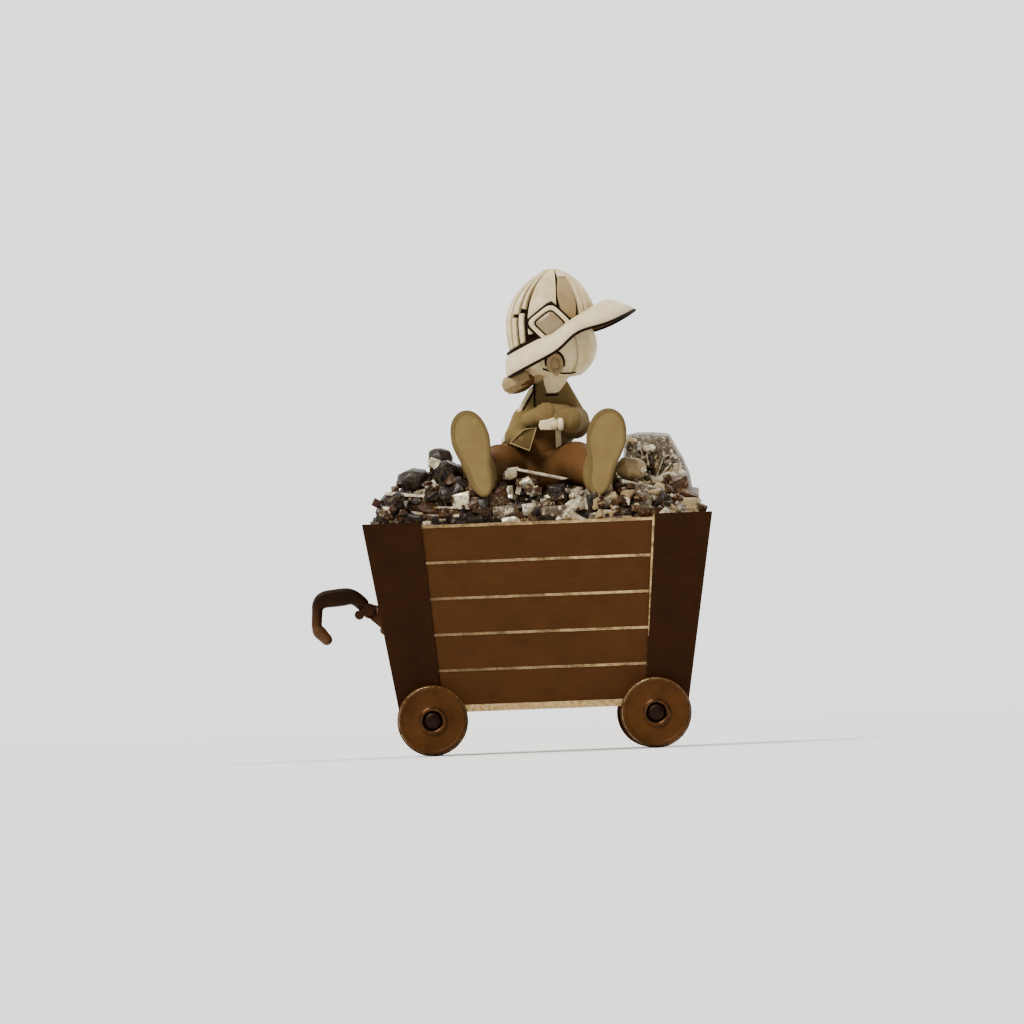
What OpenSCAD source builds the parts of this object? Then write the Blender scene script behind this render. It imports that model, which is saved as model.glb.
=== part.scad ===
// Palm-sized display model of a mine cart: a flared plank hopper on four flanged
// wheels, with a swinging drawhook, a load of ore and a seated miner.
// Millimetres, +Z up. The hook is at -X, the front side is at -Y, and the wheels
// stand on z = 0.

/* [Hopper] */
// Outside length of the hopper at its rim
hopper_len = 87.5; // [76:0.5:106]
// Outside width of the hopper at its rim
hopper_wid = 62; // [56:0.5:76]
// Height of the rim above the ground
rim_z = 57.8; // [48:0.1:70]
// Height of the hopper's underside above the ground
sill_z = 10.8; // [10.4:0.1:12.6]
// Outward lean of every wall, in mm for each mm of height
flare = 0.16; // [0.08:0.01:0.18]
// Number of planks up each wall
plank_count = 5; // [3:1:7]
// Thickness of a plank
plank_t = 1.2; // [0.8:0.1:1.5]
// Height of the gilt bead between two planks
bead_h = 0.7; // [0.4:0.1:1.2]
// How far the beads stand proud of the planks
bead_proud = 0.15; // [0.05:0.05:0.3]
// Height of the sill band under the lowest plank
sill_h = 1.8; // [1.2:0.1:2.6]
// Thickness of the cast tub's walls
wall_t = 1.6; // [1.2:0.1:2.2]
// Thickness of the cast tub's floor
floor_t = 2; // [1.8:0.1:3]

/* [Corner straps] */
// Thickness of a corner strap
strap_t = 1.8; // [1.6:0.1:2.4]
// Width of a strap's long-side leg at the rim
strap_long_w = 14.6; // [9:0.1:18]
// Width of a strap's end leg at the rim
strap_end_w = 9; // [6:0.1:12]
// Narrowing of both legs, in mm for each mm down
strap_taper = 0.08; // [0:0.01:0.1]
// How far a strap stands above the rim
strap_rise = 0.8; // [0.2:0.1:1.6]

/* [Running gear] */
// Distance between the two axles
wheelbase = 56; // [48:0.5:66]
// Radius of the wheel's flange, which carries the cart on a flat surface
flange_r = 8.9; // [8:0.1:9.2]
// Step from the flange down to the tread
flange_step = 0.5; // [0.3:0.1:1]
// Thickness of a wheel
wheel_t = 3.5; // [2.6:0.1:4.5]
// Thickness of its flange
flange_t = 1; // [0.7:0.1:1.4]
// Radius of an axle
axle_r = 1.5; // [1.2:0.1:1.8]
// Gap between a wheel's inner face and the hopper's side at the wheel's top
wheel_gap = 0.8; // [0.6:0.1:3]
// Outside radius of the bush in a wheel
bush_r = 2.9; // [2.6:0.1:3.2]
// Outside radius of the bush's rounded lip
lip_r = 3.5; // [3.3:0.1:4]
// Radius of the cap on an axle's end
cap_r = 2.2; // [1.9:0.05:2.25]
// Running clearance of a bush on its axle, on the radius
run_gap = 0.05; // [0.02:0.01:0.1]

/* [Drawhook] */
// Height of the hook's pivot above the ground
hook_z = 37.2; // [34:0.1:38]
// Radius of the bar along the top of the hook
hook_bar_r = 2.3; // [2:0.1:2.5]
// Radius of the bar where it leaves the eye
hook_root_r = 1.85; // [1.5:0.05:2]
// Radius of the pivot pin
pin_r = 0.9; // [0.7:0.05:1.1]
// Thickness of the hook's eye
eye_t = 3.2; // [2.6:0.1:4]

/* [Load] */
// Depth of the load casting below the rim
load_depth = 11; // [8:0.5:14]
// Number of lumps of ore heaped towards the hook end
hook_end_lumps = 34; // [12:1:44]
// Number of lumps of ore heaped in the middle
middle_lumps = 26; // [12:1:36]
// Number of lumps of ore heaped towards the tail end
tail_end_lumps = 28; // [12:1:40]

/* [Hidden] */
$fn = 48;
fit_gap = 0.1;        // between cast pieces that are glued or wedged together
press_gap = 0.01;     // between a pressed piece and its seat
eps = 0.5;            // overshoot of a cutting shape

// ---- the hopper's stack of planks ----
rim_h = 0.8;          // height of the gilt rim above the top plank
sill_proud = 0.4;     // how far the sill band stands proud of the planks
plank_face = strap_t - plank_t;
planks_z = sill_z + sill_h;
plank_h = (rim_z - rim_h - planks_z - (plank_count - 1) * bead_h) / plank_count;
plank_pitch = plank_h + bead_h;
lean = atan(flare);

// ---- running gear, measured outwards from the cart's middle ----
axle_z = flange_r;
tread_r = flange_r - flange_step;
wheel_in = half_wid(2 * flange_r) + wheel_gap;
wheel_out = wheel_in + wheel_t;
spacer_r = 2.8;
bolster_half = half_wid(axle_z + spacer_r) + 0.1;   // half the length of a bolster
bolster_w = 12;
bolster_h = 4.5;
side_play = 0.2;                      // between a spacer and its wheel
lip_h = 0.5;                          // how far the bush's lip stands out of the wheel
recess_depth = 1.5;                   // of the cap's recess, from the top of the lip
recess_r = cap_r + 0.25;
cap_t = 1.1;
stub_r = 0.9;                         // the axle's end that the cap is pressed on
stub_len = 0.7;
shoulder = wheel_out + lip_h - recess_depth + fit_gap;   // where the axle steps to its stub
screw_r = 1;
screw_head_r = 1.8;
screw_head_h = 1.2;
bolster_screws_at = [[3.8, 14], [-3.8, -14]];

// ---- drawhook ----
plate_t = 0.9;
plate_w = 9.4;
plate_h = min(7.2, plank_h - 0.6);
ear_t = 1.2;
ear_gap = 0.1;
eye_r = 1.9;
pivot_x = hook_end_x(hook_z) - plate_t - eye_r - 0.2;
stop_r = 0.6;                         // of the bar between the ears that the shank rests on
stop_gap = 0.05;
rivet_r = 0.5;
rivet_at = [for (y = [-1, 1], z = [-1, 1]) [y * (plate_w / 2 - 0.9), z * (plate_h / 2 - 1)]];
hook_plank = min(plank_count, floor((hook_z - planks_z) / plank_pitch) + 1);
plate_z = planks_z + (hook_plank - 1) * plank_pitch + plank_h / 2;
// The bar's route from the pivot, as [straight length, bend radius, bend angle]
hook_route = [[3.6, 4.5, 50], [4.4, 3, 80], [3.4, 3.1, 47], [3.4, 0, 0]];
hook_start = 135;                     // heading of the bar as it leaves the eye
hook_tip_r = 1.55;
// The resting bar's place, square to the shank's underside and clear of the eye
stop_at = let (out = hook_root_r + stop_gap + stop_r, along = 1.25)
    [pivot_x + along * cos(hook_start) + out * cos(hook_start + 90),
     hook_z + along * sin(hook_start) + out * sin(hook_start + 90)];

// ---- load ----
load_z = rim_z - load_depth;
ledge_w = 1.4;
ledge_h = 1.2;
load_inset = strap_t + wall_t + 0.15;
boss_r = 3.5;
load_screw_r = 1.25;
load_screw_head_r = 2.6;
load_screw_len = 13.5;
heap_half_x = hopper_len / 2 - load_inset;
heap_half_y = hopper_wid / 2 - load_inset;
// Height of the heap's crest above the rim, against the place along the cart as a share of its half length
crest = [[-1, 1.2], [-0.93, 4.5], [-0.84, 7], [-0.67, 11.5], [-0.52, 14.5], [-0.37, 11],
         [-0.2, 7.5], [0, 6.5], [0.25, 7.5], [0.45, 9.5], [0.8, 9.5], [0.92, 6], [1, 1.2]];
heap_cells = [28, 18];
bed_gap = 0.05;

// ---- the miner, placed about the middle of the rim ----
seat_z = rim_z + 10.2;                // the hips' height
collar_z = seat_z + 21.6;
collar_t = 1.1;
brim_tilt = 22.8;
helmet_at = [9.7, 2, seat_z + 36.1];
dome_at = [5.5, 2, seat_z + 39.8];
dome_r = 11.9;
dome_h = 13.7;

// The frame's origin is the middle of the model's footprint box, hook included
hook_line = hook_path();
hook_last = len(hook_line) - 1;
hook_reach = -min([for (k = [0 : hook_last]) hook_line[k][0] - bar_r(k / hook_last)]);
frame_shift = (hook_reach - half_len(rim_z + strap_rise)) / 2;

// Each wheel's name, its end of the cart and its side
WHEELS = [["front_hook_end", -1, -1], ["front_tail_end", 1, -1], ["back_hook_end", -1, 1], ["back_tail_end", 1, 1]];

// ---------------------------------------------------------------- helpers

// Half the hopper's outside length and width at a height
function half_len(z) = hopper_len / 2 - (rim_z - z) * flare;
function half_wid(z) = hopper_wid / 2 - (rim_z - z) * flare;
// Inner edge of the corner straps at a height, on the long sides and on the ends
function strap_x(z) = hopper_len / 2 - strap_long_w - (rim_z - z) * strap_taper;
function strap_y(z) = hopper_wid / 2 - strap_end_w - (rim_z - z) * strap_taper;
// Outer face of the hook-end planks at a height
function hook_end_x(z) = plank_face - half_len(z);
// Height of plank i's lower edge, counted from 1 at the bottom
function plank_z(i) = planks_z + (i - 1) * plank_pitch;

module place() translate([frame_shift, 0, 0]) children();

// Draws a profile given in X and Z, as thick as t, across the cart
module across(t) rotate([90, 0, 0]) linear_extrude(t, center = true) children();

// Draws a profile given in Y and Z, as thick as t, along the cart
module along(t) rotate([90, 0, 90]) linear_extrude(t, center = true) children();

// The hopper's flared form, its faces moved in by inset
module flared(inset, z0, z1) {
    big = 2 * hopper_len;
    intersection() {
        across(big) polygon([for (p = [[-1, z0], [1, z0], [1, z1], [-1, z1]]) [p[0] * (half_len(p[1]) - inset), p[1]]]);
        along(big) polygon([for (p = [[-1, z0], [1, z0], [1, z1], [-1, z1]]) [p[0] * (half_wid(p[1]) - inset), p[1]]]);
    }
}

// A flared band between two insets
module flared_band(outer, inner, z0, z1) {
    difference() {
        flared(outer, z0, z1);
        flared(inner, z0 - eps, z1 + eps);
    }
}

// The column of space that one corner strap stands in, grown by g towards the middle
module corner_column(sx, sy, z0, z1, g = 0) {
    big = hopper_len;
    intersection() {
        across(2 * big) polygon([[sx * (strap_x(z0) - g), z0], [sx * big, z0], [sx * big, z1], [sx * (strap_x(z1) - g), z1]]);
        along(2 * big) polygon([[sy * (strap_y(z0) - g), z0], [sy * big, z0], [sy * big, z1], [sy * (strap_y(z1) - g), z1]]);
    }
}

module all_corner_columns(z0, z1, g = 0)
    for (sx = [-1, 1], sy = [-1, 1]) corner_column(sx, sy, z0, z1, g);

// Moves to the hook-end planks' outer face at a height, with -X straight out of it
module on_hook_end(z)
    translate([hook_end_x(z), 0, z]) rotate([0, -lean, 0]) children();

// A turned piece about the Y axis, drawn as radius against distance outwards
module turned_out(side) rotate([-90 * side, 0, 0]) rotate_extrude() children();

// ---------------------------------------------------------------- hopper

module tub_shell() color("#c9ad78") {
    difference() {
        union() {
            difference() {
                flared(strap_t, sill_z, rim_z);
                flared(strap_t + wall_t, sill_z + floor_t, rim_z + eps);
            }
            flared_band(strap_t + wall_t - eps, strap_t + wall_t + ledge_w, load_z - ledge_h, load_z);
            difference() {
                union() {
                    flared_band(plank_face - sill_proud, strap_t + eps, sill_z, planks_z);
                    for (i = [1 : plank_count - 1])
                        flared_band(plank_face - bead_proud, strap_t + eps, plank_z(i) + plank_h, plank_z(i + 1));
                    flared_band(plank_face - bead_proud, strap_t + eps, rim_z - rim_h, rim_z);
                }
                difference() {
                    all_corner_columns(sill_z - eps, rim_z + eps, fit_gap);
                    flared(strap_t, sill_z - 2 * eps, rim_z + 2 * eps);
                }
            }
        }
        rivet_holes();
        for (e = [-1, 1], s = bolster_screws_at)
            translate([e * wheelbase / 2 + s[0], s[1], sill_z - eps])
                cylinder(r = screw_r + press_gap, h = floor_t + 2 * eps);
        translate([0, 0, sill_z - eps]) cylinder(r = load_screw_r + fit_gap, h = floor_t + 2 * eps);
        load_screw_sink(fit_gap);
    }
}

// One long-side plank. side is -1 at the front
module side_plank(i, side) {
    z0 = plank_z(i);
    z1 = z0 + plank_h;
    color("#55341a") intersection() {
        flared_band(plank_face, strap_t, z0, z1);
        across(2 * hopper_len)
            polygon([for (p = [[-1, z0], [1, z0], [1, z1], [-1, z1]]) [p[0] * (strap_x(p[1]) - fit_gap), p[1]]]);
        translate([-hopper_len, side > 0 ? 0 : -hopper_wid, z0 - eps]) cube([2 * hopper_len, hopper_wid, plank_h + 2 * eps]);
    }
}

// All the planks of one end. end is -1 at the hook
module end_planks(end) color("#4e2f17") difference() {
    for (i = [1 : plank_count]) {
        z0 = plank_z(i);
        z1 = z0 + plank_h;
        intersection() {
            flared_band(plank_face, strap_t, z0, z1);
            along(2 * hopper_len)
                polygon([for (p = [[-1, z0], [1, z0], [1, z1], [-1, z1]]) [p[0] * (strap_y(p[1]) - fit_gap), p[1]]]);
            translate([end > 0 ? 0 : -hopper_len, -hopper_wid, z0 - eps]) cube([hopper_len, 2 * hopper_wid, plank_h + 2 * eps]);
        }
    }
    rivet_holes();
}

// An angle of plate wrapped round one corner, standing a little above the rim
module corner_strap(sx, sy) color("#341d0b") intersection() {
    flared_band(0, strap_t, sill_z, rim_z + strap_rise);
    corner_column(sx, sy, sill_z - eps, rim_z + strap_rise + eps);
}

// ---------------------------------------------------------------- running gear

module bolster(end) color("#5a3a1e") translate([end * wheelbase / 2, 0, 0]) difference() {
    across(2 * bolster_half) polygon([
        [-bolster_w / 2, sill_z], [bolster_w / 2, sill_z], [bolster_w / 2, sill_z - bolster_h + 1.5],
        [bolster_w / 2 - 1.5, sill_z - bolster_h], [-bolster_w / 2 + 1.5, sill_z - bolster_h],
        [-bolster_w / 2, sill_z - bolster_h + 1.5]]);
    translate([0, 0, axle_z]) rotate([90, 0, 0]) cylinder(r = axle_r + press_gap, h = 3 * bolster_half, center = true);
    for (s = bolster_screws_at) translate([s[0], s[1], sill_z - bolster_h - eps]) {
        cylinder(r = screw_r + fit_gap, h = bolster_h + 2 * eps);
        cylinder(r = screw_head_r + fit_gap, h = screw_head_h + eps);
    }
}

module bolster_screws() color("#b9a27a")
    for (e = [-1, 1], s = bolster_screws_at)
        translate([e * wheelbase / 2 + s[0], s[1], sill_z - bolster_h]) difference() {
            union() {
                cylinder(r = screw_head_r, h = screw_head_h);
                cylinder(r = screw_r, h = bolster_h + floor_t);
            }
            translate([0, 0, -eps]) cylinder(r = screw_head_r * 0.5, h = screw_head_h * 0.5 + eps, $fn = 6);
        }

module axle(end) color("#8d8578") translate([end * wheelbase / 2, 0, axle_z]) rotate([90, 0, 0]) {
    cylinder(r = axle_r, h = 2 * shoulder, center = true);
    cylinder(r = stub_r, h = 2 * (shoulder + stub_len), center = true);
}

module axle_spacers() color("#8d8578")
    for (w = WHEELS) translate([w[1] * wheelbase / 2, w[2] * bolster_half, axle_z])
        rotate([-90 * w[2], 0, 0]) difference() {
            cylinder(r = spacer_r, h = wheel_in - side_play - bolster_half);
            translate([0, 0, -eps]) cylinder(r = axle_r + run_gap, h = wheel_in);
        }

// A low dome pressed on the axle's stub, sunk in the bush's recess
module axle_caps() color("#3a2412")
    for (w = WHEELS) translate([w[1] * wheelbase / 2, w[2] * shoulder, axle_z]) turned_out(w[2])
        polygon(concat(
            [[0, stub_len + press_gap], [stub_r + press_gap, stub_len + press_gap], [stub_r + press_gap, 0], [cap_r, 0]],
            [for (a = [0 : 15 : 90]) [cap_r * cos(a), cap_t * 0.4 + cap_t * 0.6 * sin(a)]]));

// A disc with a flange on its inner side, a narrow raised rim and a bore for its bush
module wheel(end, side) color("#5c3a1f") translate([end * wheelbase / 2, side * wheel_in, axle_z]) turned_out(side) {
    bevel = 0.3;
    rim_w = 0.75;
    dish = 0.2;
    bore_r = bush_r + press_gap;
    polygon([
        [bore_r, 0], [flange_r - bevel, 0], [flange_r, bevel], [flange_r, flange_t - bevel],
        [flange_r - bevel, flange_t], [tread_r, flange_t], [tread_r, wheel_t - bevel], [tread_r - bevel, wheel_t],
        [tread_r - rim_w, wheel_t], [tread_r - rim_w - dish, wheel_t - dish],
        [lip_r + 0.3, wheel_t - dish], [lip_r + 0.1, wheel_t], [bore_r, wheel_t]]);
}

// The bearing sleeve of a wheel, with a rounded lip round the recess of the axle's cap
module bush(end, side) color("#8a6a3e") translate([end * wheelbase / 2, side * wheel_in, axle_z]) turned_out(side) {
    lip_mid = (recess_r + lip_r) / 2;
    lip_half = (lip_r - recess_r) / 2;
    recess_z = wheel_t + lip_h - recess_depth;
    polygon(concat(
        [[axle_r + run_gap, 0], [bush_r, 0], [bush_r, wheel_t], [lip_r, wheel_t]],
        [for (a = [0 : 15 : 180]) [lip_mid + lip_half * cos(a), wheel_t + 0.05 + (lip_h - 0.05) * sin(a)]],
        [[recess_r, recess_z], [axle_r + run_gap, recess_z]]));
}

// ---------------------------------------------------------------- drawhook

// The bar's centreline as [x, z, heading], from the eye's middle to the tip
function hook_path(i = 0, x = pivot_x, z = hook_z, h = hook_start) =
    i == len(hook_route) ? [] :
    let (s = hook_route[i], x1 = x + s[0] * cos(h), z1 = z + s[0] * sin(h),
         cx = x1 - s[1] * sin(h), cz = z1 + s[1] * cos(h),
         bend = s[2] == 0 ? [[x1, z1, h]] :
             [for (a = [0 : s[2] / 6 : s[2] + 0.01]) [cx + s[1] * sin(h + a), cz - s[1] * cos(h + a), h + a]],
         last = bend[len(bend) - 1])
    concat(i == 0 ? [[x, z, h]] : [], bend, hook_path(i + 1, last[0], last[1], h + s[2]));

// The bar's radius at a share of the way from the root to the tip
function bar_r(s) = lookup(s, [
    [0, hook_root_r], [1 / hook_last, hook_root_r], [0.32, hook_bar_r], [0.37, hook_bar_r], [0.64, 0.6 * hook_bar_r],
    [0.7, 0.6 * hook_bar_r], [0.9, 0.78 * hook_bar_r], [1, hook_tip_r]]);

// A round bar swept along the path, tapering from the root to the tip
module hook_bar() {
    sides = 14;
    points = [for (k = [0 : hook_last], j = [0 : sides - 1])
        let (a = 360 * j / sides, p = hook_line[k], r = bar_r(k / hook_last))
        [p[0] - r * cos(a) * sin(p[2]), r * sin(a), p[1] + r * cos(a) * cos(p[2])]];
    polyhedron(points, concat(
        [[for (j = [sides - 1 : -1 : 0]) j]],
        [[for (j = [0 : sides - 1]) hook_last * sides + j]],
        [for (k = [0 : hook_last - 1], j = [0 : sides - 1]) let (a = k * sides + j, b = k * sides + (j + 1) % sides)
            [a, b, b + sides, a + sides]]));
}

module drawhook() color("#6b4a2b") difference() {
    union() {
        intersection() {
            hook_bar();
            translate([-2 * hopper_len, -eye_t / 2, 0]) cube([2 * hopper_len, eye_t, 2 * rim_z]);
        }
        translate([pivot_x, 0, hook_z]) rotate([90, 0, 0]) cylinder(r = eye_r, h = eye_t, center = true);
    }
    translate([pivot_x, 0, hook_z]) rotate([90, 0, 0]) cylinder(r = pin_r + run_gap, h = 3 * eye_t, center = true);
}

module hook_pin() color("#9c8f7c") translate([pivot_x, 0, hook_z]) rotate([90, 0, 0]) {
    reach = eye_t / 2 + ear_gap + ear_t;
    cylinder(r = pin_r, h = 2 * reach, center = true);
    for (s = [-1, 1]) translate([0, 0, s * (reach + 0.25)]) cylinder(r = pin_r + 0.35, h = 0.5, center = true);
}

module hook_clevis() color("#4a2d15") difference() {
    union() {
        on_hook_end(plate_z) translate([-plate_t, -plate_w / 2, -plate_h / 2]) cube([plate_t, plate_w, plate_h]);
        for (s = [-1, 1]) translate([0, s * (eye_t / 2 + ear_gap + ear_t / 2), 0]) clevis_ear();
        translate([stop_at[0], 0, stop_at[1]]) rotate([90, 0, 0])
            cylinder(r = stop_r, h = eye_t + 2 * ear_gap + ear_t, center = true);
    }
    translate([pivot_x, 0, hook_z]) rotate([90, 0, 0]) cylinder(r = pin_r + press_gap, h = 3 * eye_t, center = true);
    rivet_holes();
}

// One cheek of the clevis, with a lobe for the bar that the hook's shank rests on
module clevis_ear() {
    top = hook_z + 0.95 * eye_r;
    foot = plate_z - plate_h / 2 + 0.6;
    head = min(top, plate_z + plate_h / 2);
    translate([pivot_x, 0, hook_z]) rotate([90, 0, 0]) cylinder(r = eye_r, h = ear_t, center = true);
    translate([stop_at[0], 0, stop_at[1]]) rotate([90, 0, 0]) cylinder(r = 2 * stop_r, h = ear_t, center = true);
    across(ear_t) polygon([
        [pivot_x, top], [stop_at[0], stop_at[1]], [pivot_x - 0.6, stop_at[1] - stop_r], [hook_end_x(foot) - 0.1, foot],
        [hook_end_x(head) - 0.1, head]]);
}

module rivet_holes()
    on_hook_end(plate_z) for (p = rivet_at)
        translate([0, p[0], p[1]]) rotate([0, 90, 0]) cylinder(r = rivet_r + press_gap, h = 12, center = true);

module clevis_rivets() color("#8a6a3e")
    on_hook_end(plate_z) for (p = rivet_at) translate([-plate_t, p[0], p[1]]) rotate([0, 90, 0]) {
        grip = plate_t + plank_t + wall_t;
        cylinder(r = rivet_r, h = grip + 0.4);
        rotate([180, 0, 0]) rotate_extrude()
            polygon(concat([[0, 0]], [for (a = [0 : 15 : 90]) [0.85 * cos(a), 0.5 * sin(a)]]));
    }

// ---------------------------------------------------------------- load

// Height of the heap at a place, with a ripple so that it isn't smooth
function heap_z(x, y) =
    let (u = x / heap_half_x, v = abs(y) / heap_half_y, edge = 1 - pow(min(v, 1), 6))
    rim_z - 0.6 + (lookup(u, crest) * (0.12 + 0.88 * edge)) + 0.5 * sin(41 * x) * cos(53 * y);

// The heap as one closed block under that surface, lifted by g
module heap_block(g = 0) {
    nx = heap_cells[0];
    ny = heap_cells[1];
    w = 2 * (heap_half_x + 3);
    d = 2 * (heap_half_y + 3);
    top = [for (j = [0 : ny], i = [0 : nx]) let (x = w * (i / nx - 0.5), y = d * (j / ny - 0.5)) [x, y, heap_z(x, y) + g]];
    base = [for (p = top) [p[0], p[1], load_z]];
    n = len(top);
    row = nx + 1;
    polyhedron(concat(top, base), concat(
        [for (j = [0 : ny - 1], i = [0 : nx - 1]) let (a = j * row + i) each [[a, a + row, a + row + 1], [a, a + row + 1, a + 1]]],
        [for (j = [0 : ny - 1], i = [0 : nx - 1]) let (a = n + j * row + i) each [[a, a + 1, a + row + 1], [a, a + row + 1, a + row]]],
        [for (i = [0 : nx - 1]) each [[i, i + 1, n + i + 1], [i, n + i + 1, n + i]]],
        [for (i = [0 : nx - 1]) let (a = ny * row + i) each [[a + 1, a, n + a], [a + 1, n + a, n + a + 1]]],
        [for (j = [0 : ny - 1]) let (a = j * row) each [[a + row, a, n + a], [a + row, n + a, n + a + row]]],
        [for (j = [0 : ny - 1]) let (a = j * row + nx) each [[a, a + row, n + a + row], [a, n + a + row, n + a]]]));
}

// The casting that carries the ore and the miner, wedged in the hopper and held by one screw
module load_casting() color("#2e2219") difference() {
    boss_z = sill_z + floor_t + 0.6;
    union() {
        intersection() {
            heap_block();
            flared(load_inset, load_z - eps, rim_z + 40);
        }
        translate([0, 0, boss_z]) cylinder(r = boss_r, h = load_z + eps - boss_z);
    }
    miner_seat(fit_gap);
    translate([0, 0, sill_z]) cylinder(r = load_screw_r + run_gap, h = load_screw_len + 2);
}

module load_screw_sink(g) translate([0, 0, sill_z - 0.001])
    cylinder(r1 = load_screw_head_r + g, r2 = load_screw_r + g, h = 1.4);

module load_screw() color("#b9a27a") difference() {
    union() {
        load_screw_sink(0);
        translate([0, 0, sill_z]) cylinder(r = load_screw_r, h = load_screw_len);
    }
    translate([0, 0, sill_z - eps]) cylinder(r = 1.1, h = 0.8 + eps, $fn = 6);
}

// One faceted lump of ore, the hull of a few scattered points
module lump(r, seed) {
    s = rands(-1, 1, 33, seed);
    hull() for (k = [0 : 10]) {
        p = [s[3 * k], s[3 * k + 1], s[3 * k + 2]];
        translate(p * r / max(norm(p), 0.35)) cube(0.02, center = true);
    }
}

// Lumps scattered over the heap between two places along the cart
module lumps(count, x0, x1, seed, r0, r1) {
    s = rands(0, 1, 4 * count, seed);
    for (i = [0 : count - 1]) {
        x = x0 + (x1 - x0) * (i + 0.5) / count;
        y = (heap_half_y - 3) * (2 * s[4 * i] - 1);
        r = r0 + (r1 - r0) * s[4 * i + 1];
        translate([x, y, heap_z(x, y) + r * 0.35]) rotate([360 * s[4 * i + 2], 0, 360 * s[4 * i + 3]]) lump(r, seed + i);
    }
}

// A group of lumps trimmed to its stretch of the heap, clear of the casting, the miner and the boulder
module ore_group(x0, x1, count, seed, r0, r1) difference() {
    intersection() {
        lumps(count, x0 + r1 * 0.5, x1 - r1 * 0.5, seed, r0, r1);
        translate([x0 + bed_gap, -heap_half_y - 1, rim_z - 4])
            cube([x1 - x0 - 2 * bed_gap, 2 * heap_half_y + 2, 60]);
        flared(strap_t + wall_t + 0.3, load_z, rim_z + 40);
    }
    heap_block(bed_gap);
    miner_seat(2 * fit_gap);
    boulder_form(2 * fit_gap);
}

module ore_hook_end() color("#3b2e24") ore_group(-heap_half_x + 0.5, -11, hook_end_lumps, 11, 2.6, 4.4);
module ore_middle() color("#5b4c3a") ore_group(-11, 13, middle_lumps, 61, 1.8, 3);
module ore_tail_end() color("#6a5842") ore_group(13, heap_half_x - 0.5, tail_end_lumps, 137, 2.4, 4.2);

// The large lump that stands at the tail end
module boulder_form(g) {
    r = 8.6 + g;
    translate([30.2, 3, rim_z + 13.6]) rotate([0, 8, 20]) hull() {
        for (a = [0 : 60 : 300]) {
            translate([r * cos(a), 0.9 * r * sin(a), -4]) cube(0.02, center = true);
            translate([0.72 * r * cos(a + 20), 0.66 * r * sin(a + 20), r * 0.9]) cube(0.02, center = true);
        }
        translate([0, 0, -r * 1.1]) cube(0.02, center = true);
    }
}

module ore_boulder() color("#857a68") difference() {
    boulder_form(0);
    heap_block(bed_gap);
    miner_seat(2 * fit_gap);
}

// ---------------------------------------------------------------- miner

// A rounded limb between two points, its radii grown by g
module limb(a, ra, b, rb, g = 0) hull() {
    translate(a) sphere(r = ra + g, $fn = 20);
    translate(b) sphere(r = rb + g, $fn = 20);
}

// Each foot's side, with the heel and toe of its sole in X and Z from the seat
FEET = [[-1, [-13.3, -0.4], 3.2, [-16.3, 13.4], 4.9], [1, [15.9, -1], 3.3, [18.6, 12.4], 5.1]];
sole_y = -26.6;
sole_t = 1.6;

module trousers_form(g) {
    limb([-5, 6, seat_z + 1], 7, [7, 6, seat_z + 1], 7, g);
    for (f = FEET) {
        knee = [f[0] < 0 ? -9 : 11, -4, seat_z + 4.6];
        limb([f[0] < 0 ? -4 : 6, 4, seat_z + 1.5], 5.6, knee, 4.6, g);
        limb(knee, 4.6, [f[1][0], -16.5, seat_z + f[1][1] + 1.6], 3.5, g);
    }
}

module shirt_form(g) hull() {
    translate([5.4, 4, seat_z + 22]) sphere(r = 3 + g, $fn = 24);
    translate([-2, 5, seat_z + 12.5]) sphere(r = 5 + g, $fn = 24);
    translate([10.4, 5, seat_z + 15]) sphere(r = 5.2 + g, $fn = 24);
    translate([2, 6, seat_z + 6]) sphere(r = 8 + g, $fn = 24);
}

module arm_form(side, g) {
    if (side < 0) {
        limb([-3, 4, seat_z + 13.5], 3.4, [-4.6, -4.4, seat_z + 11.6], 2.9, g);
        limb([-4.6, -4.4, seat_z + 11.6], 2.9, [1.4, -7, seat_z + 12.6], 2.2, g);
    } else {
        limb([11, 4, seat_z + 15], 3.6, [12.4, -4.6, seat_z + 13.4], 3.1, g);
        limb([12.4, -4.6, seat_z + 13.4], 3.1, [7.6, -7.6, seat_z + 14.8], 2.3, g);
    }
}

module gloves_form(g) {
    limb([1.6, -8.6, seat_z + 15], 1.9, [6.2, -8.8, seat_z + 15.2], 2.1, g);
    limb([3.6, -7, seat_z + 11.4], 1.7, [5.4, -6.4, seat_z + 11], 1.6, g);
}

// The foot of a boot, without its sole
module boot_form(f, g) {
    heel = [f[1][0], -22, seat_z + f[1][1]];
    toe = [f[3][0], -21.6, seat_z + f[3][1]];
    limb(heel, f[2] + 0.2, toe, f[4] - 0.9, g);
    limb(heel + [0, 1, 1.4], f[2] + 0.5, [f[1][0], -16, seat_z + f[1][1] + 1.6], 4.1, g);
}

module sole_form(f, g) translate([0, sole_y + sole_t / 2, seat_z]) rotate([90, 0, 0])
    linear_extrude(sole_t + 2 * g, center = true) hull() {
        translate(f[1]) circle(r = f[2] + g, $fn = 32);
        translate(f[3]) circle(r = f[4] + g, $fn = 32);
    }

module head_form(g) {
    translate([7, 2.5, seat_z + 34]) sphere(r = 9.6 + g);
    translate([5.6, 4, seat_z + 20]) cylinder(r = 2.9 + g, h = 10);
}

// Everything of the miner's that touches the ore
module miner_seat(g) {
    trousers_form(g);
    shirt_form(g);
    for (f = FEET) {
        boot_form(f, g);
        sole_form(f, g);
    }
}

module miner_trousers() color("#4b2e17") trousers_form(0);

module miner_shirt() color("#94804f") difference() {
    shirt_form(0);
    trousers_form(fit_gap);
    head_form(fit_gap);
}

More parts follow.
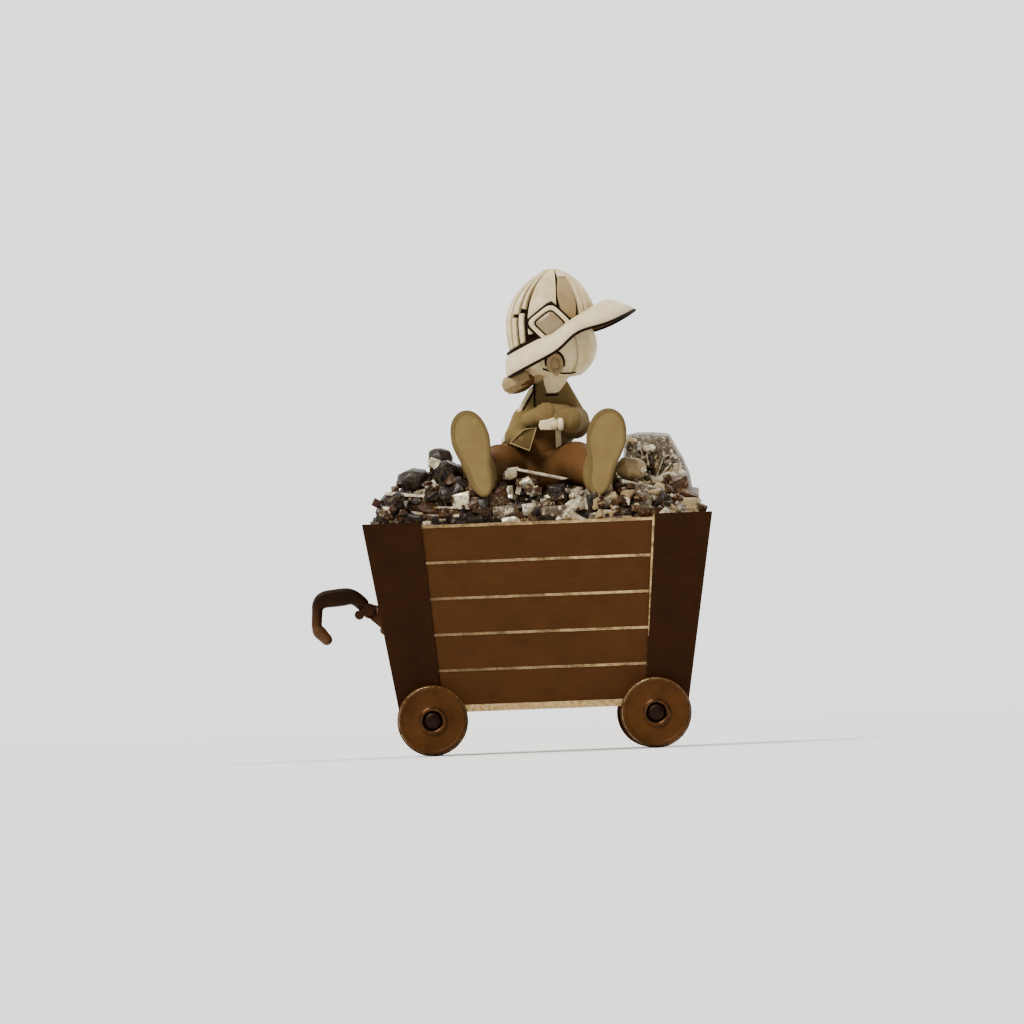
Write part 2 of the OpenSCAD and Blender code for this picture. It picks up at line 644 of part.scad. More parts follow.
// A patch of a skin laid on the shirt, kept where the children are
module on_shirt(t) intersection() {
    difference() {
        shirt_form(t + fit_gap);
        shirt_form(fit_gap);
        trousers_form(fit_gap);
        arm_form(-1, fit_gap);
        arm_form(1, fit_gap);
        head_form(fit_gap);
        gloves_form(fit_gap);
    }
    children();
}

module bib_block(g) translate([-2.5 - g, -14, seat_z + 2]) cube([10 + 2 * g, 16 + g, 12 + g]);

module miner_bib() color("#4b2e17") on_shirt(0.8) bib_block(0);

// The pair of braces over the shoulders
module miner_braces() color("#ddd0b0") on_shirt(0.9) difference() {
    for (x = [-4, 8.4]) translate([x, -14, seat_z + 9]) rotate([0, x < 0 ? 20 : -12, 0])
        cube([1.8, 30, 14]);
    bib_block(fit_gap);
    translate([-20, -30, collar_z - fit_gap]) cube([50, 60, 20]);
}

module miner_collar() color("#d2c4a9") intersection() {
    difference() {
        shirt_form(collar_t + fit_gap);
        shirt_form(fit_gap);
        head_form(fit_gap);
    }
    translate([-6, -12, collar_z]) cube([24, 30, 2.6]);
}

module miner_arm(side) color("#94804f") difference() {
    arm_form(side, 0);
    shirt_form(fit_gap);
    trousers_form(fit_gap);
    gloves_form(fit_gap);
}

module miner_gloves() color("#ccb98e") difference() {
    gloves_form(0);
    shirt_form(fit_gap);
}

module boot(f) color("#7a6339") difference() {
    boot_form(f, 0);
    trousers_form(fit_gap);
    translate([-60, -60 + sole_y + sole_t + press_gap, 0]) cube([120, 60, 3 * rim_z]);
}

module sole(f) color("#94793f") sole_form(f, 0);

// Keeps what is above the helmet's brim plane
module above_brim(z) translate(helmet_at) rotate([0, -brim_tilt, 0])
    translate([-60, -60, z]) cube([120, 120, 60]);

brim_top = 1.5;

module miner_head() color("#d2c4a9") difference() {
    head_form(0);
    above_brim(brim_top + 4);
}

module miner_beard() color("#ad936b") difference() {
    limb([-3.7, -0.5, seat_z + 25.8], 3, [1.6, 0.5, seat_z + 25.4], 3.2);
    head_form(fit_gap);
    brim_form(fit_gap);
    shirt_form(collar_t + 2 * fit_gap);
}

// A shallow drooping disc on the helmet's tilted plane
module brim_form(g) translate(helmet_at) rotate([0, -brim_tilt, 0]) rotate_extrude()
    polygon([[0, 0.1 - g], [11, 0.1 - g], [17.9 + g, -3 - g], [17.9 + g, -1.7 + g], [11, brim_top + g], [0, brim_top + g]]);

module helmet_brim() color("#ddd4bd") difference() {
    brim_form(0);
    head_form(fit_gap);
}

module dome_form(g) translate(dome_at) rotate_extrude()
    polygon(concat([[0, -dome_h - g]], [for (a = [-80 : 10 : 80]) [(dome_r + g) * cos(a), (dome_h + g) * sin(a)]], [[0, dome_h + g]]));

module helmet_dome() color("#cdbd9d") difference() {
    intersection() {
        dome_form(0);
        above_brim(brim_top);
    }
    head_form(fit_gap);
}

lamp_at = [4.4, -10.6, 39.6];
lamp_size = [7, 5, 5.8];

module helmet_lamp() color("#cdbd9d") difference() {
    translate(lamp_at + [0, 0, seat_z]) cube(lamp_size, center = true);
    dome_form(fit_gap);
    lamp_hollow(0);
}

module lamp_hollow(g) translate(lamp_at + [0, -lamp_size[1] / 2, seat_z])
    cube([lamp_size[0] - 1.6 - 2 * g, 1.6 - 2 * g, lamp_size[2] - 1.6 - 2 * g], center = true);

module lamp_lens() color("#ad936b") lamp_hollow(press_gap);

// ---------------------------------------------------------------- nodes

place() {
    tub_shell();
    for (i = [1 : plank_count]) {
        side_plank(i, -1);
        side_plank(i, 1);
    }
    end_planks(-1);  // hook_end_planks
    end_planks(1);  // tail_end_planks
    corner_strap(-1, -1);  // strap_front_hook_end
    corner_strap(1, -1);  // strap_front_tail_end
    corner_strap(-1, 1);  // strap_back_hook_end
    corner_strap(1, 1);  // strap_back_tail_end
    bolster(-1);  // bolster_hook_end
    bolster(1);  // bolster_tail_end
    bolster_screws();
    axle(-1);  // axle_hook_end
    axle(1);  // axle_tail_end
    axle_spacers();
    axle_caps();
    for (w = WHEELS) {
        wheel(w[1], w[2]);
        bush(w[1], w[2]);
    }
    hook_clevis();
    clevis_rivets();
    hook_pin();
    drawhook();
    load_casting();
    load_screw();
    ore_hook_end();
    ore_middle();
    ore_tail_end();
    ore_boulder();
    miner_trousers();
    miner_shirt();
    miner_bib();
    miner_braces();
    miner_collar();
    miner_arm(-1);  // miner_arm_left
    miner_arm(1);  // miner_arm_right
    miner_gloves();
    boot(FEET[0]);  // boot_left
    boot(FEET[1]);  // boot_right
    sole(FEET[0]);  // sole_left
    sole(FEET[1]);  // sole_right
    miner_head();
    miner_beard();
    helmet_dome();
    helmet_brim();
    helmet_lamp();
    lamp_lens();
}
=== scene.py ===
"""The looks of the miniature mine cart: enamel and gilt on the cast hopper, a heap of ore and a seated miner.

Lengths are in millimetres and places are given from the cart's middle until a mesh is finished.
finish_piece() turns them into metres in the CAD frame.
"""
import math
import random

import bmesh
import bpy
from mathutils import Matrix, Vector
from mathutils.bvhtree import BVHTree


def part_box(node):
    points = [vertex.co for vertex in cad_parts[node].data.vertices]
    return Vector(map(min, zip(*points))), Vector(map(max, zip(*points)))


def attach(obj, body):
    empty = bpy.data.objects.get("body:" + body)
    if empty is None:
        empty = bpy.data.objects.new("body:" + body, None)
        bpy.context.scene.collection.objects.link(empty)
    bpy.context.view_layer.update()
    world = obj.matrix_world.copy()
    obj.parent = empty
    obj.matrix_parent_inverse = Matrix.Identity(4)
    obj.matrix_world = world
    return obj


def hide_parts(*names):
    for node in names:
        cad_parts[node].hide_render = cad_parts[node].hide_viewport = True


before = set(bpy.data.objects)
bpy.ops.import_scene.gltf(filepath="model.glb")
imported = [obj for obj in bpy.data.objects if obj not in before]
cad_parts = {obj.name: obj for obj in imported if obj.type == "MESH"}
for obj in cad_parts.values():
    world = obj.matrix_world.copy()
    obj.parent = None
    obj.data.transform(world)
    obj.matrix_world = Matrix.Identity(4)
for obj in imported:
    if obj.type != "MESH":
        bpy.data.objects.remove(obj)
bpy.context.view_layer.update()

MM = 0.001
TUB_LOW, TUB_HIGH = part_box("tub_shell")
MIDDLE = (TUB_LOW.x + TUB_HIGH.x) / 2
RIM = TUB_HIGH.z / MM                      # height of the hopper's rim
SEAT = RIM + 10.2                          # height of the miner's hips
HALF_LEN = (TUB_HIGH.x - MIDDLE) / MM
HALF_WID = TUB_HIGH.y / MM


# ------------------------------------------------------------------ meshes

def to_frame(point):
    return Vector((point[0] * MM + MIDDLE, point[1] * MM, point[2] * MM))


def from_frame(point):
    return Vector(((point[0] - MIDDLE) / MM, point[1] / MM, point[2] / MM))


def object_from(name, verts, faces):
    mesh = bpy.data.meshes.new(name)
    mesh.from_pydata([tuple(v) for v in verts], [], faces)
    mesh.update()
    piece = bpy.data.objects.new(name, mesh)
    bpy.context.scene.collection.objects.link(piece)
    return piece


def settle(piece):
    """Replaces a piece's mesh by what its modifiers make of it."""
    bpy.context.view_layer.update()
    graph = bpy.context.evaluated_depsgraph_get()
    mesh = bpy.data.meshes.new_from_object(piece.evaluated_get(graph))
    old = piece.data
    piece.modifiers.clear()
    piece.data = mesh
    mesh.name = piece.name
    bpy.data.meshes.remove(old)
    return piece


def modify(piece, kind, **values):
    modifier = piece.modifiers.new(kind.title(), kind)
    for key, value in values.items():
        setattr(modifier, key, value)
    return modifier


def smooth_shade(piece, angle=None):
    for face in piece.data.polygons:
        face.use_smooth = True
    if angle is not None:
        piece.data.set_sharp_from_angle(angle=math.radians(angle))


def finish_piece(piece, body, material, replaces=(), angle=None):
    """Moves a finished mesh into the CAD frame, hangs it on the body it rides on and hides the CAD parts it
    stands for.
    """
    for vertex in piece.data.vertices:
        vertex.co = to_frame(vertex.co)
    smooth_shade(piece, angle)
    if material is not None:
        piece.data.materials.clear()
        piece.data.materials.append(material)
    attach(piece, body)
    if replaces:
        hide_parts(*replaces)
    return piece


def shell_of(parts):
    """Joins (verts, faces) pairs into one list of each."""
    verts, faces = [], []
    for part_verts, part_faces in parts:
        start = len(verts)
        verts.extend(part_verts)
        faces.extend([tuple(i + start for i in face) for face in part_faces])
    return verts, faces


def rings_to_mesh(rings, close_ends=True):
    """A skin over rings of equal length."""
    count = len(rings[0])
    verts = [v for ring in rings for v in ring]
    faces = []
    for k in range(len(rings) - 1):
        for j in range(count):
            a = k * count + j
            b = k * count + (j + 1) % count
            faces.append((a, b, b + count, a + count))
    if close_ends:
        faces.append(tuple(range(count - 1, -1, -1)))
        last = (len(rings) - 1) * count
        faces.append(tuple(range(last, last + count)))
    return verts, faces


def side_axes(direction):
    direction = direction.normalized()
    helper = Vector((0, 0, 1)) if abs(direction.z) < 0.9 else Vector((1, 0, 0))
    first = direction.cross(helper).normalized()
    return first, direction.cross(first).normalized()


def limb(start, start_r, end, end_r, sides=24, steps=7):
    """A closed tapered rod with round ends."""
    start, end = Vector(start), Vector(end)
    along = (end - start).normalized()
    first, second = side_axes(end - start)
    rings = []
    for centre, radius, sign in ((start, start_r, -1), (end, end_r, 1)):
        angles = [math.radians(90 * (k + 0.5) / steps) for k in range(steps)]
        if sign < 0:
            angles = [-a for a in reversed(angles)]
        for angle in angles:
            ring_r = radius * math.cos(angle)
            middle = centre + along * radius * math.sin(angle)
            rings.append([middle + ring_r * (math.cos(t) * first + math.sin(t) * second)
                          for t in (2 * math.pi * j / sides for j in range(sides))])
    return rings_to_mesh(rings)


def ball(centre, radii, turn=None, sides=28, steps=16):
    """A closed ellipsoid. turn is a rotation matrix for its axes."""
    centre = Vector(centre)
    radii = Vector((radii,) * 3) if isinstance(radii, (int, float)) else Vector(radii)
    turn = turn or Matrix.Identity(3)
    rings = []
    for k in range(steps):
        angle = math.radians(-90 + 180 * (k + 0.5) / steps)
        rings.append([centre + turn @ Vector((radii.x * math.cos(angle) * math.cos(t),
                                              radii.y * math.cos(angle) * math.sin(t),
                                              radii.z * math.sin(angle)))
                      for t in (2 * math.pi * j / sides for j in range(sides))])
    return rings_to_mesh(rings)


def tube(points, radii, sides=16):
    """A closed tube along points, round at both ends."""
    points = [Vector(p) for p in points]
    rings = []
    side = None
    for k, point in enumerate(points):
        ahead = points[min(k + 1, len(points) - 1)] - points[max(k - 1, 0)]
        ahead.normalize()
        if side is None:
            side, _ = side_axes(ahead)
        side = (side - ahead * side.dot(ahead)).normalized()
        other = ahead.cross(side)
        caps = [0.0]
        if k == 0:
            caps = [-75, -50, -25, 0]
        if k == len(points) - 1:
            caps = [0, 25, 50, 75]
        for cap in caps:
            lean = math.radians(cap)
            r = radii[k] * math.cos(lean)
            middle = point + ahead * radii[k] * math.sin(lean)
            rings.append([middle + r * (math.cos(t) * side + math.sin(t) * other)
                          for t in (2 * math.pi * j / sides for j in range(sides))])
    return rings_to_mesh(rings)


def sculpt(name, parts, voxel, smooth=6, wobble=0.0, seed=0):
    """One skin over overlapping closed parts, rounded where they meet."""
    piece = object_from(name, *shell_of(parts))
    modify(piece, "REMESH", mode="VOXEL", voxel_size=voxel)
    modify(piece, "SMOOTH", iterations=smooth, factor=0.5)
    settle(piece)
    if wobble:
        rng = random.Random(seed)
        push = [Vector((rng.uniform(-9, 9), rng.uniform(-9, 9), rng.uniform(-9, 9))) for _ in range(3)]
        for vertex, normal in zip(piece.data.vertices, [v.normal.copy() for v in piece.data.vertices]):
            p = vertex.co
            wave = sum(math.sin(p.dot(axis) / 9 + k) for k, axis in enumerate(push)) / 3
            vertex.co = p + normal * wobble * wave
    return piece


def pleat(piece, centre, along, spacing, depth, reach):
    """Presses soft folds across a stretch of cloth, as at an elbow or a knee."""
    centre, along = Vector(centre), Vector(along).normalized()
    for vertex, normal in zip(piece.data.vertices, [v.normal.copy() for v in piece.data.vertices]):
        offset = vertex.co - centre
        distance = offset.length
        if distance > reach:
            continue
        fade = 0.5 + 0.5 * math.cos(math.pi * distance / reach)
        sway = 0.35 * math.sin(offset.cross(along).length * 1.3)
        vertex.co += normal * depth * fade * math.sin(2 * math.pi * (offset.dot(along) / spacing + sway))
    piece.data.update()


def grid_faces(rows, columns):
    """The faces between the points of a grid."""
    corners = [r * columns + c for r in range(rows - 1) for c in range(columns - 1)]
    return [(a, a + 1, a + columns + 1, a + columns) for a in corners]


def surface_of(piece):
    tree = bmesh.new()
    tree.from_mesh(piece.data)
    surface = BVHTree.FromBMesh(tree)
    tree.free()
    return surface


def patch(name, grid, surface, cast, lift, thickness):
    """A sheet laid on a surface: each row of grid points is cast along a direction until it meets it."""
    cast = Vector(cast).normalized()
    verts = []
    for row in grid:
        for point in row:
            hit, normal, _, _ = surface.ray_cast(Vector(point) - cast * 60, cast)
            if hit is None:
                hit, normal, _, _ = surface.find_nearest(Vector(point))
            if normal.dot(cast) > 0:
                normal = -normal
            verts.append(hit + normal * lift)
    faces = [face[::-1] for face in grid_faces(len(grid), len(grid[0]))]
    piece = object_from(name, verts, [face[-1:] + face[:-1] for face in faces])
    modify(piece, "SMOOTH", iterations=3, factor=0.5)
    modify(piece, "SOLIDIFY", thickness=thickness, offset=0)
    modify(piece, "BEVEL", width=thickness * 0.35, segments=2, limit_method="ANGLE",
           angle_limit=math.radians(50))
    return settle(piece)


# ------------------------------------------------------------------ materials

TONE = 0.6        # how much darker the paints are than they look under the studio's light


def srgb(r, g, b, tone=TONE):
    def channel(value):
        value /= 255
        return tone * (value / 12.92 if value <= 0.04045 else ((value + 0.055) / 1.055) ** 2.4)
    return (channel(r), channel(g), channel(b), 1)


class Finish:
    """A Principled material whose patterns are measured in millimetres."""

    def __init__(self, name):
        self.material = bpy.data.materials.new(name)
        self.material.use_nodes = True
        self.tree = self.material.node_tree
        self.shader = self.tree.nodes["Principled BSDF"]
        place = self.node("ShaderNodeTexCoord")
        scale = self.node("ShaderNodeVectorMath", operation="SCALE")
        scale.inputs["Scale"].default_value = 1 / MM
        self.link(place.outputs["Object"], scale.inputs[0])
        self.place = scale.outputs[0]

    def node(self, kind, **values):
        made = self.tree.nodes.new(kind)
        for key, value in values.items():
            setattr(made, key, value)
        return made

    def link(self, source, target):
        self.tree.links.new(source, target)

    def feed(self, socket, value):
        if isinstance(value, (int, float, tuple)):
            socket.default_value = value
        else:
            self.link(value, socket)

    def stretched(self, stretch):
        node = self.node("ShaderNodeVectorMath", operation="MULTIPLY")
        node.inputs[1].default_value = stretch
        self.link(self.place, node.inputs[0])
        return node.outputs[0]

    def noise(self, size, detail=4, rough=0.55, stretch=None):
        """Noise whose blots are about size mm across."""
        node = self.node("ShaderNodeTexNoise")
        node.inputs["Scale"].default_value = 1 / size
        node.inputs["Detail"].default_value = detail
        node.inputs["Roughness"].default_value = rough
        self.link(self.stretched(stretch) if stretch else self.place, node.inputs["Vector"])
        return node.outputs["Fac"]

    def cells(self, size):
        """Distance from the middles of scattered cells about size mm across."""
        node = self.node("ShaderNodeTexVoronoi")
        node.inputs["Scale"].default_value = 1 / size
        self.link(self.place, node.inputs["Vector"])
        return node.outputs["Distance"]

    def span(self, value, low, high, to_low=0.0, to_high=1.0):
        node = self.node("ShaderNodeMapRange")
        self.feed(node.inputs["Value"], value)
        node.inputs["From Min"].default_value = low
        node.inputs["From Max"].default_value = high
        node.inputs["To Min"].default_value = to_low
        node.inputs["To Max"].default_value = to_high
        return node.outputs["Result"]

    def maths(self, operation, first, second=0.0):
        node = self.node("ShaderNodeMath", operation=operation)
        self.feed(node.inputs[0], first)
        self.feed(node.inputs[1], second)
        return node.outputs[0]

    def mix(self, share, first, second):
        node = self.node("ShaderNodeMix", data_type="RGBA")
        self.feed(node.inputs["Factor"], share)
        self.feed(node.inputs["A"], first)
        self.feed(node.inputs["B"], second)
        return node.outputs["Result"]

    def axis(self, name):
        node = self.node("ShaderNodeSeparateXYZ")
        self.link(self.place, node.inputs[0])
        return node.outputs[name]

    def edges(self, low, high):
        """1 on convex edges, 0 on flats and in creases."""
        node = self.node("ShaderNodeNewGeometry")
        return self.span(node.outputs["Pointiness"], low, high)

    def corners(self, radius, low=0.03, high=0.22):
        """1 within about radius mm of a hard edge, whatever the mesh."""
        rounded = self.node("ShaderNodeBevel", samples=4)
        rounded.inputs["Radius"].default_value = radius * MM
        flat = self.node("ShaderNodeNewGeometry")
        dot = self.node("ShaderNodeVectorMath", operation="DOT_PRODUCT")
        self.link(rounded.outputs["Normal"], dot.inputs[0])
        self.link(flat.outputs["Normal"], dot.inputs[1])
        return self.span(dot.outputs["Value"], 1 - low, 1 - high)

    def per_lump(self, low=0.0, high=1.0):
        node = self.node("ShaderNodeNewGeometry")
        return self.span(node.outputs["Random Per Island"], 0, 1, low, high)

    def bump(self, height, strength, distance):
        node = self.node("ShaderNodeBump")
        node.inputs["Strength"].default_value = strength
        node.inputs["Distance"].default_value = distance * MM
        self.feed(node.inputs["Height"], height)
        self.link(node.outputs["Normal"], self.shader.inputs["Normal"])

    def set(self, **values):
        for key, value in values.items():
            self.feed(self.shader.inputs[key.replace("_", " ")], value)
        return self


def enamel(name, colour, shade, worn=None, rough=0.4, grain=(0.25, 1, 1), wear=0.7, reach=0.35):
    """Fired enamel over metal: soft mottling, faint lengthwise streaks, fine pores and worn bright edges."""
    look = Finish(name)
    mottle = look.span(look.noise(7, 3, 0.5), 0.35, 0.68)
    streak = look.span(look.noise(0.9, 5, 0.6, grain), 0.3, 0.7)
    base = look.mix(mottle, shade, colour)
    lighter = tuple(c * 1.25 for c in colour[:3]) + (1,)
    base = look.mix(look.maths("MULTIPLY", streak, 0.4), base, lighter)
    speck = look.span(look.cells(0.45), 0.0, 0.12, 0.3, 0.0)
    base = look.mix(speck, base, shade)
    look.set(Metallic=0.0)
    if worn:
        patchy = look.span(look.noise(1.6, 5, 0.65), 0.38, 0.6)
        mask = look.maths("MULTIPLY", look.maths("MULTIPLY", look.corners(reach), patchy), wear)
        base = look.mix(mask, base, worn)
        look.set(Metallic=mask)
    look.set(Base_Color=base, Roughness=look.span(look.noise(2.2, 5, 0.6), 0.3, 0.7, rough - 0.07,
                                                  rough + 0.1),
             Specular_IOR_Level=0.05)
    relief = look.maths("ADD", look.maths("MULTIPLY", look.noise(0.5, 4, 0.55, grain), 0.7),
                        look.noise(4, 2, 0.5))
    look.bump(relief, 0.22, 0.05)
    return look.material


def gilt_cast(name, colour, dull, enamel_colour):
    """Polished gilt that enamel has crept over in places; darker towards the hook's end and low down and
    brighter towards the tail end and the top, as painted shade and a painted highlight that copy how the
    light falls.
    """
    look = Finish(name)
    creep = look.span(look.noise(1.9, 5, 0.75, (0.3, 1, 1)), 0.4, 0.56)
    # painted highlight and shade: the gilt shows more towards the tail end and the top, copying how the light
    # falls
    highlight_towards_tail = look.span(look.axis("X"), (MIDDLE / MM) - HALF_LEN * 0.95, (MIDDLE / MM) + HALF_LEN * 0.5)
    highlight_towards_top = look.span(look.axis("Z"), RIM * 0.3, RIM * 0.97)
    bright = look.maths("ADD", look.maths("MULTIPLY", highlight_towards_tail, 0.75), look.maths("MULTIPLY", highlight_towards_top, 0.25))
    bright = look.maths("MULTIPLY", bright, look.maths("ADD", look.maths("MULTIPLY", creep, 0.7), 0.3))
    sill = look.span(look.axis("Z"), RIM * 0.225, RIM * 0.215, 0, 0.85)
    bright = look.maths("MAXIMUM", bright, sill)
    tarnish = look.span(look.noise(0.8, 4, 0.6), 0.35, 0.65)
    gold = look.mix(tarnish, dull, colour)
    look.set(Base_Color=look.mix(bright, enamel_colour, gold), Metallic=look.span(bright, 0, 1, 0.0, 0.4),
             Specular_IOR_Level=0.15,
             Roughness=look.span(look.noise(1.1, 4, 0.6), 0.3, 0.7, 0.26, 0.42))
    look.bump(look.noise(0.7, 4, 0.6), 0.3, 0.06)
    return look.material


def metal(name, colour, dark, rough=0.3, size=1.4, edge=None, edge_share=0.8):
    """Cast or plated metal with a patina in its hollows."""
    look = Finish(name)
    patina = look.span(look.noise(size, 6, 0.65), 0.36, 0.66)
    base = look.mix(patina, dark, colour)
    if edge:
        mask = look.maths("MULTIPLY", look.corners(0.3), edge_share)
        base = look.mix(mask, base, edge)
    look.set(Base_Color=base, Metallic=0.85,
             Roughness=look.span(look.noise(size * 0.5, 5, 0.6), 0.3, 0.7, rough - 0.06, rough + 0.14))
    look.bump(look.noise(size * 0.4, 5, 0.6), 0.35, 0.05)
    return look.material


def painted(name, colour, shade, crease_shade=0.8, rough=0.5, gloss=0.02):
    """Hand paint on a casting: tone that drifts, brush streaks, painted shade that darkens the creases, and a
    painted highlight on convex ridges.
    """
    look = Finish(name)
    drift = look.span(look.noise(4.5, 3, 0.55), 0.32, 0.68)
    base = look.mix(drift, shade, colour)
    brush = look.span(look.noise(0.45, 4, 0.65, (1, 1, 0.3)), 0.3, 0.7, 0, 0.3)
    base = look.mix(brush, base, tuple(c * 0.82 for c in colour[:3]) + (1,))
    # painted shade: a dark colour in the creases, where shade falls
    crease_shade_mask = look.span(look.edges(0.42, 0.492), 0, 1, crease_shade, 0)
    base = look.mix(crease_shade_mask, base, srgb(40, 25, 13))
    # painted highlight: a lighter colour on convex ridges
    ridge = look.maths("MULTIPLY", look.edges(0.53, 0.6), 0.35)
    base = look.mix(ridge, base, tuple(min(1, c * 1.4) for c in colour[:3]) + (1,))
    look.set(Base_Color=base, Coat_Weight=gloss, Coat_Roughness=0.3,
             Specular_IOR_Level=0.05,
             Roughness=look.span(look.noise(1.5, 5, 0.6), 0.3, 0.7, rough - 0.08, rough + 0.1))
    look.bump(look.noise(0.35, 5, 0.6), 0.25, 0.04)
    return look.material


def stone(name, dark, light, vein, metallic, rough, glint=0.0):
    """Broken ore: two tones, mineral veins and, with glint, facets of bright native metal."""
    look = Finish(name)
    tone = look.span(look.noise(1.6, 6, 0.6), 0.35, 0.65)
    base = look.mix(tone, dark, light)
    base = look.mix(look.per_lump(0, 0.6), base, dark)
    seam = look.span(look.maths("ABSOLUTE", look.maths("SUBTRACT", look.noise(2.4, 5, 0.6), 0.5)), 0.0,
                     0.02, 1, 0)
    base = look.mix(look.maths("MULTIPLY", seam, 0.4), base, vein)
    shine = look.span(look.noise(1.3, 3, 0.5), 0.6, 0.63, 0, glint)
    base = look.mix(shine, base, vein)
    edge = look.maths("MULTIPLY", look.corners(0.16), 0.3)
    base = look.mix(edge, base, vein)
    look.set(Base_Color=base, Metallic=metallic, Specular_IOR_Level=0.22,
             Roughness=look.span(look.noise(0.6, 5, 0.6), 0.3, 0.7, rough - 0.1, rough + 0.15))
    look.bump(look.maths("ADD", look.noise(0.5, 6, 0.65), look.cells(1.1)), 0.4, 0.1)
    return look.material


def nugget(name):
    """Native metal: bright cream facets broken up by dark gangue."""
    look = Finish(name)
    patches = look.span(look.noise(1.15, 3, 0.55), 0.47, 0.52)
    fine = look.span(look.cells(1.2), 0.04, 0.1)
    tint = look.mix(look.span(look.noise(1.8, 3, 0.5), 0.35, 0.65), srgb(206, 184, 142, 0.85),
                    srgb(240, 230, 206, 0.95))
    base = look.mix(look.maths("MAXIMUM", patches, look.maths("MULTIPLY", fine, 0.55)), srgb(58, 38, 22),
                    tint)
    look.set(Base_Color=base, Metallic=0.25, Specular_IOR_Level=0.4,
             Roughness=look.span(look.noise(0.6, 5, 0.6), 0.3, 0.7, 0.2, 0.45))
    look.bump(look.cells(1.5), 0.35, 0.1)
    return look.material


def hook_bronze(name):
    """Antique bronze with painted light: painted shade makes it nearly black on top and a painted highlight
    makes it lighter below.
    """
    look = Finish(name)
    # painted shade: nearly black on the bar's top
    low = look.span(look.axis("Z"), (HOOK_LEVEL + 3.5), (HOOK_LEVEL - 5.5))
    tone = look.mix(look.span(look.noise(2.6, 4, 0.55), 0.3, 0.7), srgb(72, 42, 18), srgb(92, 58, 28))
    base = look.mix(low, srgb(40, 20, 7), tone)
    # painted highlight: a lighter colour along the bar's underside
    base = look.mix(look.maths("MULTIPLY", look.span(look.axis("Z"), HOOK_LEVEL - 1, HOOK_LEVEL - 7), 0.5),
                    base, srgb(120, 88, 56))
    look.set(Base_Color=base, Metallic=0.25, Specular_IOR_Level=0.1,
             Roughness=look.span(look.noise(1.2, 5, 0.6), 0.3, 0.7, 0.42, 0.6))
    look.bump(look.noise(0.9, 4, 0.6), 0.2, 0.04)
    return look.material


HOOK_LEVEL = 37.2
GOLD = srgb(236, 214, 168, 1)
FINISHES = {
    "plank": enamel("enamel_plank", srgb(88, 53, 23), srgb(79, 47, 19)),
    "strap": enamel("enamel_strap", srgb(54, 28, 6), srgb(45, 22, 4), srgb(120, 82, 40), wear=0.5),
    "wheel": enamel("enamel_wheel", srgb(94, 58, 25), srgb(68, 40, 16), GOLD, grain=(1, 1, 1), wear=0.9,
                    reach=0.3),
    "bolster": enamel("enamel_bolster", srgb(70, 41, 15), srgb(52, 29, 9), srgb(160, 124, 80)),
    "gilt": gilt_cast("gilt_cast", srgb(214, 186, 134, 0.95), srgb(168, 134, 84, 0.9), srgb(76, 46, 20)),
    "bronze": hook_bronze("bronze"),
    "brass": metal("brass", srgb(112, 74, 38), srgb(78, 46, 22), 0.28, 1.2, GOLD, 0.5),
    "steel": metal("steel", srgb(176, 168, 154), srgb(112, 102, 90), 0.3, 1.0),
    "cap": metal("dark_cap", srgb(58, 36, 19), srgb(34, 20, 10), 0.42, 0.8),
    "bed": stone("ore_bed", srgb(22, 13, 8), srgb(50, 34, 22), srgb(90, 68, 44), 0.0, 0.6),
    "black": stone("ore_black", srgb(20, 11, 6), srgb(42, 27, 16), srgb(150, 128, 92), 0.05, 0.34, 0.35),
    "slate": stone("ore_slate", srgb(40, 31, 21), srgb(62, 51, 38), srgb(112, 94, 70), 0.05, 0.38),
    "brown": stone("ore_brown", srgb(52, 27, 10), srgb(92, 56, 25), srgb(190, 162, 116), 0.1, 0.36, 0.5),
    "grey": stone("ore_grey", srgb(78, 64, 49), srgb(132, 116, 94), srgb(222, 208, 178, 1), 0.1, 0.38, 0.6),
    "tan": stone("ore_tan", srgb(176, 148, 104), srgb(206, 180, 132), srgb(232, 216, 180), 0.05, 0.45),
    "bright": nugget("ore_bright"),
    "ivory": painted("paint_ivory", srgb(242, 225, 184, 0.95), srgb(228, 207, 160, 0.95)),
    "skin": painted("paint_skin", srgb(236, 215, 172, 1), srgb(222, 197, 150, 1)),
    "helmet": painted("paint_helmet", srgb(236, 218, 174, 0.92), srgb(208, 180, 128, 0.85), gloss=0.12,
                      rough=0.42),
    "khaki": painted("paint_khaki", srgb(156, 132, 84), srgb(138, 114, 68), rough=0.72, gloss=0),
    "sole": painted("paint_sole", srgb(158, 134, 84), srgb(144, 120, 74), crease_shade=0.5, rough=0.55,
                    gloss=0.05),
    "tan_paint": painted("paint_tan", srgb(202, 174, 126), srgb(182, 152, 106)),
    "lens": painted("paint_lens", srgb(190, 166, 128), srgb(160, 136, 102), gloss=0.6, rough=0.25),
    "trousers": painted("paint_trousers", srgb(124, 86, 48), srgb(108, 74, 40), crease_shade=0.6, rough=0.7),
    "line": painted("paint_line", srgb(34, 18, 6), srgb(24, 12, 4), crease_shade=0.2, rough=0.7),
}


def dress(node, finish, bevel=0.0, segments=3, angle=30):
    """Gives a CAD piece its finish, and softens its cast edges."""
    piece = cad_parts[node]
    piece.data.materials.clear()
    piece.data.materials.append(FINISHES[finish])
    modify(piece, "WELD", merge_threshold=0.002 * MM)
    if bevel:
        modify(piece, "BEVEL", width=bevel * MM, segments=segments, limit_method="ANGLE",
               angle_limit=math.radians(angle), harden_normals=False)
    for face in piece.data.polygons:
        face.use_smooth = True
    modify(piece, "WEIGHTED_NORMAL", keep_sharp=False, weight=80)


